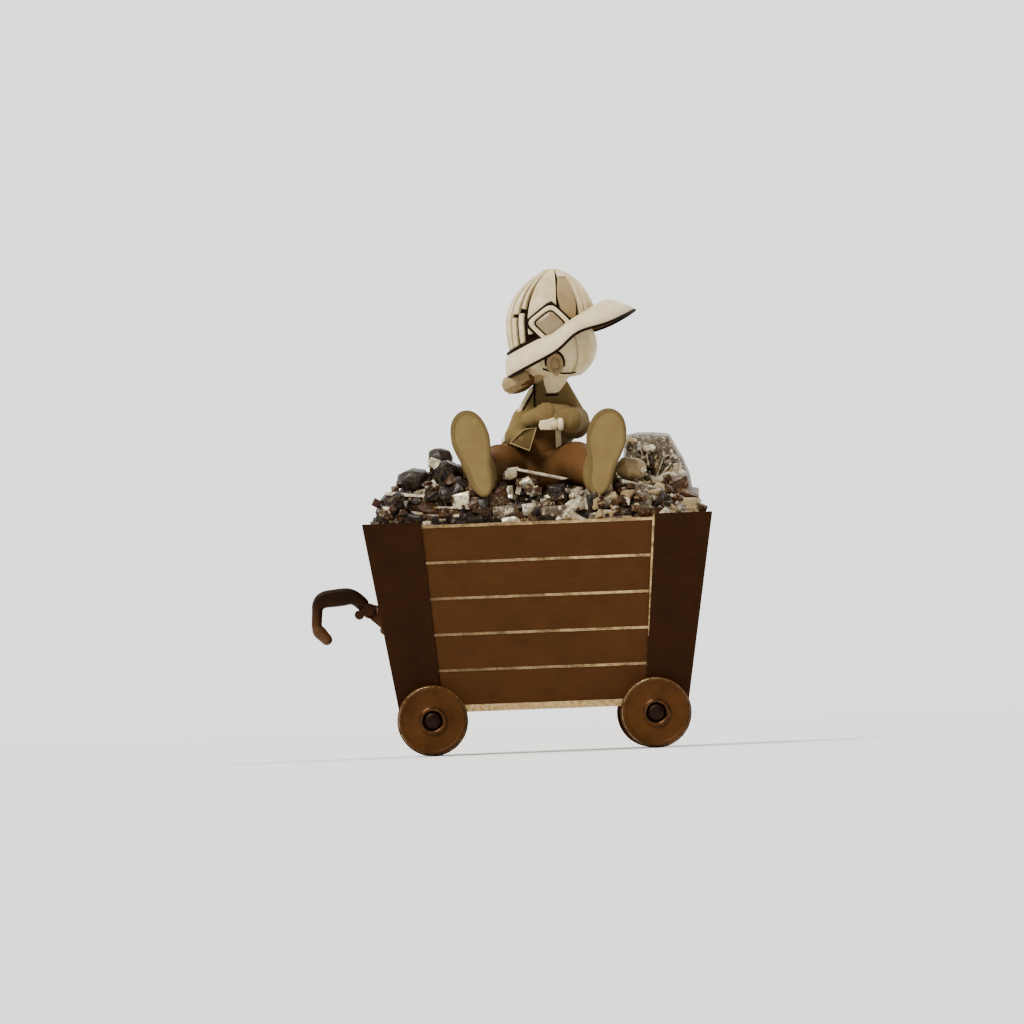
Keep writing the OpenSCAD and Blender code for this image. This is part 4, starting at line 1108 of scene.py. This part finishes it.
def make_bib(shirt):
    bib = patch("miner_bib_panel", grid_between(lambda z: -1.6 + 0.14 * (z - SEAT),
                                                lambda z: 8.2 - 0.12 * (z - SEAT),
                                                SEAT + 4, SEAT + 13.6, 14, 16), shirt, (0, 1, 0), 0.6, 0.8)
    finish_piece(bib, "root", FINISHES["trousers"], ["miner_bib"])
    placket = patch("miner_bib_placket", grid_between(lambda z: 5.2, lambda z: 6.5, SEAT + 6.5, SEAT + 13.2,
                                                      4, 12),
                    shirt, (0, 1, 0), 1.25, 0.5)
    finish_piece(placket, "root", FINISHES["ivory"])
    corners = [Vector((-5.8, -5.4, SEAT + 10.2)), Vector((-2.2, -8.4, SEAT + 13.4)),
               Vector((0.9, -9.2, SEAT + 13.7)), Vector((-1.0, -9.0, SEAT + 8.0))]
    depth = Vector((0, 0.7, 0))
    flap = object_from("miner_coat_flap", corners + [c + depth for c in corners],
                       [(0, 1, 2, 3), (7, 6, 5, 4), (0, 4, 5, 1), (1, 5, 6, 2), (2, 6, 7, 3), (3, 7, 4, 0)])
    modify(flap, "BEVEL", width=0.25, segments=3, limit_method="ANGLE", angle_limit=math.radians(40))
    settle(flap)
    finish_piece(flap, "root", FINISHES["khaki"], angle=40)
    hem = object_from("miner_coat_hem", *tube([corners[k % 4] + Vector((0, -0.05, 0)) for k in range(5)],
                                              [0.17] * 5, 8))
    finish_piece(hem, "root", FINISHES["tan_paint"])
    edge = [(0.2, 2.2, 23.7), (-1.9, 2.0, 20.2), (-4.0, 1.9, 16.6), (-5.9, 1.6, 13.4), (-7.3, 1.2, 11.0)]
    strip = object_from("miner_brace_front", *tube([(x, y, SEAT + z) for x, y, z in edge], [0.55] * 5, 12))
    piping = []
    for aside, depth in ((0.75, -0.5), (-0.45, 0.5)):
        line = [(x + aside, y + depth, SEAT + z) for x, y, z in edge]
        piping.append(object_from("piping", *tube(line, [0.24] * 5, 10)))
    join("miner_brace_piping", piping)
    finish_piece(piping[0], "root", FINISHES["line"])
    straps = [strip]
    for start, end in (((11.6, 10.0), (2.2, 23.0)), ((-6.6, 10.0), (8.4, 23.0))):
        grid = []
        for r in range(25):
            share = r / 24
            x = start[0] + (end[0] - start[0]) * share
            z = SEAT + start[1] + (end[1] - start[1]) * share
            grid.append([(x + dx, 30, z) for dx in (-0.7, -0.35, 0, 0.35, 0.7)])
        straps.append(patch("miner_brace", grid, shirt, (0, -1, 0), 0.3, 0.5))
    join("miner_braces_worn", straps)
    finish_piece(straps[0], "root", FINISHES["ivory"], ["miner_braces"])


def join(name, pieces):
    """Makes the first piece hold all of them."""
    verts, faces = shell_of([([v.co.copy() for v in p.data.vertices],
                              [tuple(f.vertices) for f in p.data.polygons])
                             for p in pieces])
    mesh = bpy.data.meshes.new(name)
    mesh.from_pydata([tuple(v) for v in verts], [], faces)
    old = pieces[0].data
    pieces[0].data = mesh
    pieces[0].name = name
    bpy.data.meshes.remove(old)
    for extra in pieces[1:]:
        bpy.data.objects.remove(extra)
    return pieces[0]


FEET = {"left": ((-13.3, SEAT - 0.4), 3.3, (-16.4, SEAT + 13.4), 4.9),
        "right": ((15.9, SEAT - 1.0), 3.4, (18.6, SEAT + 12.4), 5.1)}
SOLE_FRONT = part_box("sole_left")[0].y / MM


def sole_outline(foot, inset, count=56):
    """Points round a shoe's sole in the front view, narrower at the waist."""
    (hx, hz), heel_r, (tx, tz), toe_r = foot
    heel, toe = Vector((hx, hz)), Vector((tx, tz))
    up = (toe - heel).normalized()
    side = Vector((up.y, -up.x))
    start, end = heel - up * (heel_r - inset), toe + up * (toe_r - inset)
    length = (end - start).length
    points = []
    for k in range(count):
        t = 2 * math.pi * k / count
        s = 0.5 - 0.5 * math.cos(t)
        widening = min(1, max(0, (s - 0.25) / 0.4))
        width = heel_r + (toe_r - heel_r) * widening - 0.35 * math.exp(-((s - 0.36) / 0.1) ** 2)
        cap = max(0.0, 1 - abs(2 * s - 1) ** 3.4) ** 0.5
        half = (width - inset) * cap * (1 if math.sin(t) >= 0 else -1)
        centre = start + up * length * s
        points.append(centre + side * half)
    return points


def make_boot(which):
    foot = FEET[which]
    (hx, hz), heel_r, (tx, tz), toe_r = foot
    rings = [[Vector((p.x, SOLE_FRONT + depth, p.y)) for p in sole_outline(foot, inset)] for depth, inset in
             ((0.22, 1.1), (0.0, 0.9), (0.0, 0.35), (0.3, 0.0), (0.85, 0.0), (1.0, 0.3), (1.15, 0.05),
              (1.6, 0.05), (1.6, 1.2))]
    sole = object_from("sole_" + which + "_welted", *rings_to_mesh(rings))
    finish_piece(sole, "root", FINISHES["sole"], ["sole_" + which], angle=40)
    heel, toe = Vector((hx, -22.4, hz)), Vector((tx, -21.8, tz))
    ankle = Vector((hx, -16.5, hz + 2.4))
    parts = [limb(heel + Vector((0, 0, 0.4)), heel_r, toe, toe_r - 1.0),
             limb(heel, heel_r + 0.1, ankle, 4.2),
             limb(toe, toe_r - 0.8, toe + Vector((0, -1.2, 0.4)), toe_r - 0.9),
             limb(ankle, 4.2, toe.lerp(heel, 0.55) + Vector((0, 1.6, 0)), 4.0)]
    boot = sculpt("boot_" + which + "_upper", parts, 0.34, 7)
    for vertex in boot.data.vertices:
        vertex.co.y = max(vertex.co.y, SOLE_FRONT + 1.4)
    pleat(boot, heel.lerp(toe, 0.45) + Vector((0, 3.5, 0)), (0, 0.4, 1), 1.8, 0.2, 4.2)
    finish_piece(boot, "root", FINISHES["khaki"], ["boot_" + which])
    cuff("boot_" + which + "_cuff", ankle + Vector((0, -0.4, 0)), ankle + Vector((0, 1.6, -0.1)), 4.3, 0.5,
         "khaki")


HEAD = Vector((7.0, 2.5, SEAT + 33.6))
FACE_YAW = math.radians(-82)      # from facing the front towards the hook's end
NOD = math.radians(8)


def head_axes():
    """Ahead, sideways (to the face's left) and up, as unit vectors."""
    turn = Matrix.Rotation(FACE_YAW, 3, "Z")
    ahead = turn @ Vector((0, -1, 0))
    side = turn @ Vector((1, 0, 0))
    nod = Matrix.Rotation(NOD, 3, side)
    return nod @ ahead, side, nod @ Vector((0, 0, 1))


AHEAD, SIDE, UP = head_axes()
HEAD_TURN = Matrix((AHEAD, SIDE, UP)).transposed()


def on_head(ahead, side, up):
    return HEAD + AHEAD * ahead + SIDE * side + UP * up


def make_head():
    parts = [ball(on_head(-0.4, 0, 0.6), (9.4, 8.6, 8.2), HEAD_TURN),
             ball(on_head(3.2, 0, -3.2), (5.9, 6.2, 2.9), HEAD_TURN),
             ball(on_head(7.0, 0, -4.7), (2.2, 2.6, 1.6), HEAD_TURN),
             limb(on_head(0.6, 0, -4), 3.6, (5.4, 3.4, SEAT + 22.5), 2.6),
             limb(on_head(8.8, 0, 0.4), 1.0, on_head(10.6, 0, -2.6), 1.25),
             limb(on_head(7.8, -3.4, 1.9), 1.2, on_head(7.8, 3.4, 1.9), 1.2)]
    for s in (-1, 1):
        parts.append(ball(on_head(6.7, 3.9 * s, -2.2), (2.3, 2.4, 2.2), HEAD_TURN))
        parts.append(ball(on_head(7.4, 3.2 * s, 0.0), (1.5, 1.9, 1.25), HEAD_TURN))
        parts.append(ball(on_head(9.8, 1.0 * s, -3.0), 0.7))
    parts.append(limb(on_head(8.7, -1.6, -3.75), 0.45, on_head(8.7, 1.6, -3.75), 0.45, 16, 5))
    parts.append(limb(on_head(8.6, -1.3, -4.6), 0.5, on_head(8.6, 1.3, -4.6), 0.5, 16, 5))
    head = sculpt("miner_head_sculpt", parts, 0.26, 4)
    finish_piece(head, "root", FINISHES["skin"], ["miner_head"])
    lines = []
    for s in (-1, 1):
        eye = on_head(7.75, 3.2 * s, -0.1)
        lid = [eye + SIDE * 1.8 * math.cos(a) + UP * (0.75 * math.sin(a) - 0.2)
               + AHEAD * 0.95 * math.sin(a) ** 2
               for a in (math.pi * k / 10 for k in range(11))]
        lines.append(object_from("lid", *tube(lid, [0.16] * 11, 8)))
        brow = [on_head(8.8 - 0.12 * t * t, 3.3 * s + t, 2.7 + 0.3 * math.cos(t))
                for t in (-2, -1, 0, 1, 2)]
        lines.append(object_from("brow", *tube(brow, [0.25, 0.38, 0.42, 0.36, 0.22], 8)))
    mouth = [on_head(9.1 - 0.1 * t * t, t, -4.2 + 0.05 * t * t) for t in (-1.8, -0.9, 0, 0.9, 1.8)]
    for s in (-1, 1):
        jaw = [on_head(5.2 - 1.55 * k, s * (5.9 + 0.25 * k), -4.3 - 0.95 * k + 0.1 * k * k)
               for k in range(6)]
        lines.append(object_from("jaw", *tube(jaw, [0.22] * 6, 8)))
    lines.append(object_from("mouth", *tube(mouth, [0.12, 0.15, 0.15, 0.15, 0.12], 8)))
    join("miner_face_lines", lines)
    finish_piece(lines[0], "root", FINISHES["line"])
    make_ears()
    make_nape()


def make_nape():
    """The helmet's lining, which hugs the back of the head below the brim."""
    grid = []
    for r in range(25):
        up = 5.4 - 12.6 * r / 24
        row = []
        for c in range(41):
            around = math.radians(112 + 136 * c / 40)
            level = min(0.97, abs(up - 0.6) / 8.7)
            ring = math.sqrt(1 - level * level)
            row.append(on_head(-0.4 + 9.75 * ring * math.cos(around), 8.95 * ring * math.sin(around), up))
        grid.append(row)
    lining = object_from("helmet_nape_lining", [p for row in grid for p in row],
                         grid_faces(len(grid), len(grid[0])))
    modify(lining, "SOLIDIFY", thickness=0.5, offset=0)
    modify(lining, "BEVEL", width=0.16, segments=2, limit_method="ANGLE", angle_limit=math.radians(50))
    settle(lining)
    finish_piece(lining, "root", FINISHES["helmet"], angle=50)


def make_ears():
    ears = []
    shadows = []
    for s in (-1, 1):
        hub = on_head(2.4, 7.4 * s, -3.5)
        rim = []
        for k in range(15):
            a = math.radians(-60 + 280 * k / 14)
            rim.append(hub - AHEAD * 1.75 * math.cos(a) + UP * 2.3 * math.sin(a)
                       + SIDE * s * (0.7 + 0.3 * math.sin(a)))
        parts = [tube(rim, [0.5 + 0.12 * math.sin(math.pi * k / 14) for k in range(15)], 12),
                 ball(hub + SIDE * s * 0.2, (1.5, 0.6, 2.1), HEAD_TURN),
                 ball(hub - UP * 2.2 + SIDE * s * 0.5, (0.9, 0.6, 1.0), HEAD_TURN)]
        ears.append(sculpt("ear", parts, 0.17, 2))
        # painted shadow: a dark arch round each ear
        arch = [hub - AHEAD * 2.35 * math.cos(a) + UP * 2.9 * math.sin(a) + SIDE * s * 0.8
                for a in (math.radians(-20 + 200 * k / 14) for k in range(15))]
        shadows.append(object_from("arch", *tube(arch, [0.25 + 0.35 * math.sin(math.pi * k / 14)
                                                        for k in range(15)], 10)))
    join("miner_ears", ears)
    finish_piece(ears[0], "root", FINISHES["tan_paint"])
    join("miner_ear_painted_shadows", shadows)
    finish_piece(shadows[0], "root", FINISHES["line"])


def make_beard():
    """A full beard carried forward from the chin: a rounded wedge combed into fine locks."""
    middle = Vector((-3.0, 2.0, SEAT + 26.1))
    locks = [ball(middle, (4.1, 5.2, 2.5), BRIM_TURN), limb(middle, 2.4, (1.4, 2.0, SEAT + 27.9), 2.7)]
    for k in range(27):
        around = math.radians(-125 + 250 * k / 26)
        path = []
        for level, reach in ((1.9, 0.74), (0.8, 0.98), (-0.6, 1.0), (-1.8, 0.82), (-2.5, 0.5)):
            local = Vector((-4.0 * reach * math.cos(around), 5.1 * reach * math.sin(around), level))
            path.append(middle + BRIM_TURN @ local)
        locks.append(tube(path, [0.42, 0.5, 0.48, 0.4, 0.22], 10))
    beard = sculpt("miner_beard_locks", locks, 0.2, 2)
    finish_piece(beard, "root", FINISHES["tan_paint"], ["miner_beard"])
    # painted shade: a brown copy of the beard, set a little lower, for the shade under it
    under = middle + BRIM_TURN @ Vector((0.2, 0, -0.75))
    shade = object_from("miner_beard_painted_shade", *ball(under, (4.2, 5.2, 2.35), BRIM_TURN))
    finish_piece(shade, "root", FINISHES["trousers"])


DOME_LOW, DOME_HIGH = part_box("helmet_dome")
DOME_R = (DOME_HIGH.x - DOME_LOW.x) / MM / 2
DOME_TOP = DOME_HIGH.z / MM
DOME_H = 14.4
DOME_AT = Vector((5.5, 2, DOME_TOP - 13.7))
BRIM_AT = Vector((5.7, 2, SEAT + 37.6))
BRIM_TILT = math.radians(24.6)
BRIM_TURN = Matrix.Rotation(-BRIM_TILT, 3, "Y")
BRIM_INNER = 11.4


def on_dome(longitude, latitude, lift=0.0):
    """A point on the crown. Longitude 0 faces the front and grows towards the hook's end."""
    lon, lat = math.radians(longitude), math.radians(latitude)
    r = (DOME_R + lift) * math.cos(lat) ** (1.3 if lat > 0 else 0.6)
    h = DOME_H + lift
    across = -r * math.sin(lon)
    if across < 0:
        across *= 0.94
    lean = 1.3 * math.sin(max(lat, 0.0)) ** 2
    return DOME_AT + Vector((across + lean, -r * math.cos(lon), h * math.sin(lat)))


def brim_height(x, y):
    """Height of the brim's plane over a place."""
    normal = BRIM_TURN @ Vector((0, 0, 1))
    return BRIM_AT.z - (normal.x * (x - BRIM_AT.x) + normal.y * (y - BRIM_AT.y)) / normal.z


def lowest_latitude(longitude, above):
    """Latitude at which a meridian of the crown comes down to the brim."""
    low, high = -60.0, 85.0
    for _ in range(24):
        middle = (low + high) / 2
        p = on_dome(longitude, middle)
        if p.z > brim_height(p.x, p.y) + above:
            high = middle
        else:
            low = middle
    return high


def around_lamp(p, clearance=4.9):
    """Whether a point of the crown lies within the lamp's square outline."""
    flat = LAMP_ROLL.inverted() @ Vector((p.x - LAMP_AT.x, (p.z - LAMP_AT.z) / 0.86))
    return p.y < DOME_AT.y and max(abs(flat.x), abs(flat.y)) < clearance


def gore(name, west, east, top=84, thick=0.85, foot=0.9, bow=0.0, start=None, lift=-0.85):
    """One raised panel of the crown between two longitudes, pointed towards the apex."""
    rows, columns = 20, 6
    verts = []
    for r in range(rows + 1):
        share = r / rows
        for c in range(columns + 1):
            lon = west + (east - west) * c / columns
            base = lowest_latitude(lon, foot)
            if start is not None:
                base = max(base, start)
            while around_lamp(on_dome(lon, base)) and base < 60:
                base += 0.5
            lon += bow * math.sin(math.pi * share) * (0.5 - c / columns) * 2
            verts.append(on_dome(lon, base + (top - base) * share, lift))
    panel = object_from(name, verts, grid_faces(rows + 1, columns + 1))
    modify(panel, "SOLIDIFY", thickness=thick, offset=1)
    modify(panel, "BEVEL", width=0.2, segments=3, limit_method="ANGLE", angle_limit=math.radians(50))
    return settle(panel)


# Raised panels of the crown: west and east longitude, where they start and how far up they reach
RIBS = [(104, 95, -60, 84), (89, 80, -60, 80), (75, 65, -60, 84), (59, 49, 12, 82), (43, 37, 17, 84),
        (60, 52, -60, 8), (46, 38, -60, 12),
        (-41, -48, -60, 82), (-53, -61, -60, 84), (-66, -75, -60, 80), (-80, -90, -60, 84)]
BACK_RIBS = [(-96 - 17.6 * k, -108 - 17.6 * k, -60, 80 if k % 2 else 84) for k in range(9)]


def make_helmet():
    feet = [lowest_latitude(lon * 5, 0.15) for lon in range(72)]
    rings = [[on_dome(lon * 5, feet[lon] + (87 - feet[lon]) * row / 30, -0.9) for lon in range(72)]
             for row in range(31)]
    crown = object_from("helmet_crown_base", *rings_to_mesh(rings))
    finish_piece(crown, "root", FINISHES["line"], ["helmet_dome"])
    panels = [gore("gore", west, east, top, start=start) for west, east, start, top in RIBS + BACK_RIBS]
    panels.append(gore("gore", 31, -8, 82, start=-10))
    panels.append(gore("gore", -16, -38, 86, start=58))
    join("helmet_gores", panels)
    finish_piece(panels[0], "root", FINISHES["helmet"], angle=50)
    almond = gore("helmet_side_panel", -14, -34, top=56, start=-4, bow=4)
    finish_piece(almond, "root", FINISHES["tan_paint"], angle=50)
    button = object_from("helmet_button", *ball(DOME_AT + Vector((0, 0, DOME_H - 0.9)), (1.7, 1.7, 0.8),
                                                None, 32, 12))
    finish_piece(button, "root", FINISHES["helmet"])
    make_lamp()
    make_brim()


LAMP_AT = Vector((5.3, -11.4, SEAT + 39.8))
LAMP_ROLL = Matrix.Rotation(math.radians(40), 2)


def make_lamp():
    """A square lamp standing on its corner: a dark shadow gap, a cream frame and a domed glass."""
    def ring(size, y, corner=0.42):
        points = []
        for k in range(48):
            t = 2 * math.pi * k / 48
            c, s = math.cos(t), math.sin(t)
            flat = LAMP_ROLL @ Vector((math.copysign(abs(c) ** corner, c),
                                       math.copysign(abs(s) ** corner, s))) * size
            points.append(Vector((LAMP_AT.x + flat.x, y, LAMP_AT.z + flat.y * 0.86)))
        return points

    front = LAMP_AT.y
    shade = object_from("helmet_lamp_gap", *rings_to_mesh([ring(4.95, front + 7), ring(4.95, front + 1.2),
                                                           ring(4.6, front + 0.9)]))
    finish_piece(shade, "root", FINISHES["line"])
    frame_rings = [ring(4.35, front + 7), ring(4.35, front + 0.7), ring(4.05, front + 0.3),
                   ring(3.6, front + 0.15), ring(3.25, front + 0.4), ring(3.22, front + 1.6)]
    body = object_from("helmet_lamp_frame", *rings_to_mesh(frame_rings))
    finish_piece(body, "root", FINISHES["helmet"], ["helmet_lamp"], angle=45)
    seat = object_from("helmet_lamp_seat", *rings_to_mesh([ring(3.25, front + 1.7),
                                                           ring(3.25, front + 0.75)]))
    finish_piece(seat, "root", FINISHES["line"], angle=45)
    glass = object_from("lamp_lens_glass", *rings_to_mesh([ring(size, front + 0.8 - out) for size, out in
                                                          ((2.85, 0), (2.8, 0.4), (2.5, 0.75), (1.9, 0.95),
                                                           (0.9, 1.1), (0.2, 1.14))]))
    finish_piece(glass, "root", FINISHES["lens"], ["lamp_lens"], angle=60)


def brim_ring(along, under):
    """One ring of the brim, from the crown (0) to the edge (1)."""
    ring = []
    for k in range(120):
        t = 2 * math.pi * k / 120
        back, fore = max(0.0, math.cos(t)), max(0.0, -math.cos(t))
        out = 4.1 + 6.2 * back ** 1.5 - 0.6 * fore
        drop = 4.5 - 1.9 * math.exp(-((math.cos(t) - 0.36) / 0.3) ** 2) - 0.9 * back ** 3
        height = (0.15 + 1.85 * back) * math.sin(math.pi * along ** 0.8) - drop * along ** 2.6
        radius = BRIM_INNER + out * along
        height -= under * (1.5 - 0.7 * along)
        ring.append(BRIM_AT + BRIM_TURN @ Vector((radius * math.cos(t), radius * math.sin(t), height)))
    return ring


def make_brim():
    """A felt brim that hugs the crown at the front and stands out behind, ivory above and brown below, the
    brown being painted shade under the brim.
    """
    steps = [k / 8 for k in range(9)]
    rings = [brim_ring(a, 0) for a in steps] + [brim_ring(a, 1) for a in reversed(steps)]
    verts, faces = rings_to_mesh(rings, close_ends=False)
    count = len(rings[0])
    last = (len(rings) - 1) * count
    faces += [(last + j, last + (j + 1) % count, (j + 1) % count, j) for j in range(count)]
    brim = object_from("helmet_brim_felt", verts, faces)
    brim.data.materials.append(FINISHES["ivory"])
    brim.data.materials.append(FINISHES["trousers"])
    # painted shade: the underside rings take the brown finish
    for index, face in enumerate(brim.data.polygons):
        face.material_index = 1 if index >= 9 * count else 0
    modify(brim, "BEVEL", width=0.25, segments=2, limit_method="ANGLE", angle_limit=math.radians(60))
    settle(brim)
    finish_piece(brim, "root", None, ["helmet_brim"], angle=60)
    cord = []
    for k in range(73):
        t = 2 * math.pi * k / 72
        cord.append(BRIM_AT + BRIM_TURN @ Vector(((BRIM_INNER + 0.5) * math.cos(t),
                                                  (BRIM_INNER + 0.5) * math.sin(t), 0.35)))
    band = object_from("helmet_band", *tube(cord, [0.5] * 73, 10))
    finish_piece(band, "root", FINISHES["line"])
    edge = brim_ring(1.0, 0.7)
    piping = object_from("helmet_brim_piping", *tube(edge + edge[:1], [0.36] * 121, 10))
    finish_piece(piping, "root", FINISHES["line"])


def make_collar(shirt):
    """The pale throat between the coat's lapels, and the dark edge of the coat below it."""
    throat = patch("miner_throat", grid_between(lambda z: 4.2 - 0.24 * (z - SEAT - 22.4),
                                                lambda z: 6.3 + 0.26 * (z - SEAT - 22.4),
                                                SEAT + 22.4, SEAT + 27.2, 8, 10), shirt, (0, 1, 0), 0.5,
                                                0.9)
    finish_piece(throat, "root", FINISHES["ivory"], ["miner_collar"])
    lapel = object_from("miner_lapel_line", *tube([(1.0, 1.1, SEAT + 26.0), (0.9, 0.9, SEAT + 22.5),
                                                   (0.8, -0.2, SEAT + 19.4)],
                                                  [0.26] * 3, 10))
    finish_piece(lapel, "root", FINISHES["line"])
    edge = patch("miner_collar_edge", grid_between(lambda z: 3.6, lambda z: 6.9, SEAT + 21.7, SEAT + 22.3,
                                                   8, 2),
                 shirt, (0, 1, 0), 0.6, 0.7)
    finish_piece(edge, "root", FINISHES["line"])


def make_miner():
    make_trousers()
    shirt = make_shirt()
    make_arms()
    make_bib(shirt)
    make_collar(shirt)
    make_boot("left")
    make_boot("right")
    make_head()
    make_beard()
    make_helmet()


# ------------------------------------------------------------------ floor, light and camera

LEVEL = 2.0       # how bright the backdrop and the floor are


def make_studio():
    floor = object_from("floor", [(-3000, -3000, 0), (3000, -3000, 0), (3000, 3000, 0), (-3000, 3000, 0)],
                        [(0, 1, 2, 3)])
    for vertex in floor.data.vertices:
        vertex.co *= MM
    look = Finish("floor_paper")
    look.set(Base_Color=look.mix(look.noise(60, 3, 0.5), (0.86, 0.855, 0.84, 1), (0.88, 0.875, 0.86, 1)),
             Roughness=0.9, Specular_IOR_Level=0.1)
    floor.data.materials.append(look.material)
    world = bpy.data.worlds.new("studio")
    bpy.context.scene.world = world
    world.use_nodes = True
    nodes, links = world.node_tree.nodes, world.node_tree.links
    place = nodes.new("ShaderNodeTexCoord")
    split = nodes.new("ShaderNodeSeparateXYZ")
    fade = nodes.new("ShaderNodeMapRange")
    fade.interpolation_type = "SMOOTHSTEP"
    fade.inputs["From Min"].default_value = -0.5
    fade.inputs["From Max"].default_value = 0.8
    fade.inputs["To Min"].default_value = 0.22
    fade.inputs["To Max"].default_value = LEVEL
    links.new(place.outputs["Generated"], split.inputs[0])
    links.new(split.outputs["Y"], fade.inputs["Value"])
    links.new(fade.outputs["Result"], nodes["Background"].inputs["Strength"])
    nodes["Background"].inputs["Color"].default_value = (1.0, 0.992, 0.975, 1)
    suns = (("key", (-0.55, -0.75, 1.0), 20, 4.4), ("back", (0.7, 0.55, 1.0), 18, 1.1))
    for name, source, spread, power in suns:
        lamp = bpy.data.lights.new(name, "SUN")
        lamp.angle = math.radians(spread)
        lamp.energy = power
        lamp.color = (1.0, 0.97, 0.92)
        holder = bpy.data.objects.new(name, lamp)
        bpy.context.scene.collection.objects.link(holder)
        holder.rotation_euler = (-Vector(source)).to_track_quat("-Z", "Y").to_euler()


def make_camera():
    """Looks up slightly from just above the floor, rolled so that the tail stands a little higher."""
    azimuth, elevation, roll = math.radians(-0.5), math.radians(-1.1), math.radians(2.2)
    distance, width = 2500, 256
    aim = Vector((-6.2, -HALF_WID, 60.3))
    back = Vector((math.sin(azimuth) * math.cos(elevation), -math.cos(azimuth) * math.cos(elevation),
                   math.sin(elevation)))
    right = Vector((math.cos(azimuth), math.sin(azimuth), 0))
    up = back.cross(right)
    rolled_up = up * math.cos(roll) + right * math.sin(roll)
    rolled_right = right * math.cos(roll) - up * math.sin(roll)
    view = Matrix((rolled_right, rolled_up, back)).transposed().to_4x4()
    view.translation = to_frame(aim + back * distance)
    lens = bpy.data.cameras.new("camera")
    lens.sensor_width = 36
    lens.lens = lens.sensor_width * distance / width
    lens.clip_start = 0.01
    lens.clip_end = 50
    camera = bpy.data.objects.new("camera", lens)
    bpy.context.scene.collection.objects.link(camera)
    camera.matrix_world = view
    bpy.context.scene.camera = camera


dress_cart()
paint_strap_edge_highlight()
make_hook()
make_ore()
make_miner()
make_studio()
make_camera()
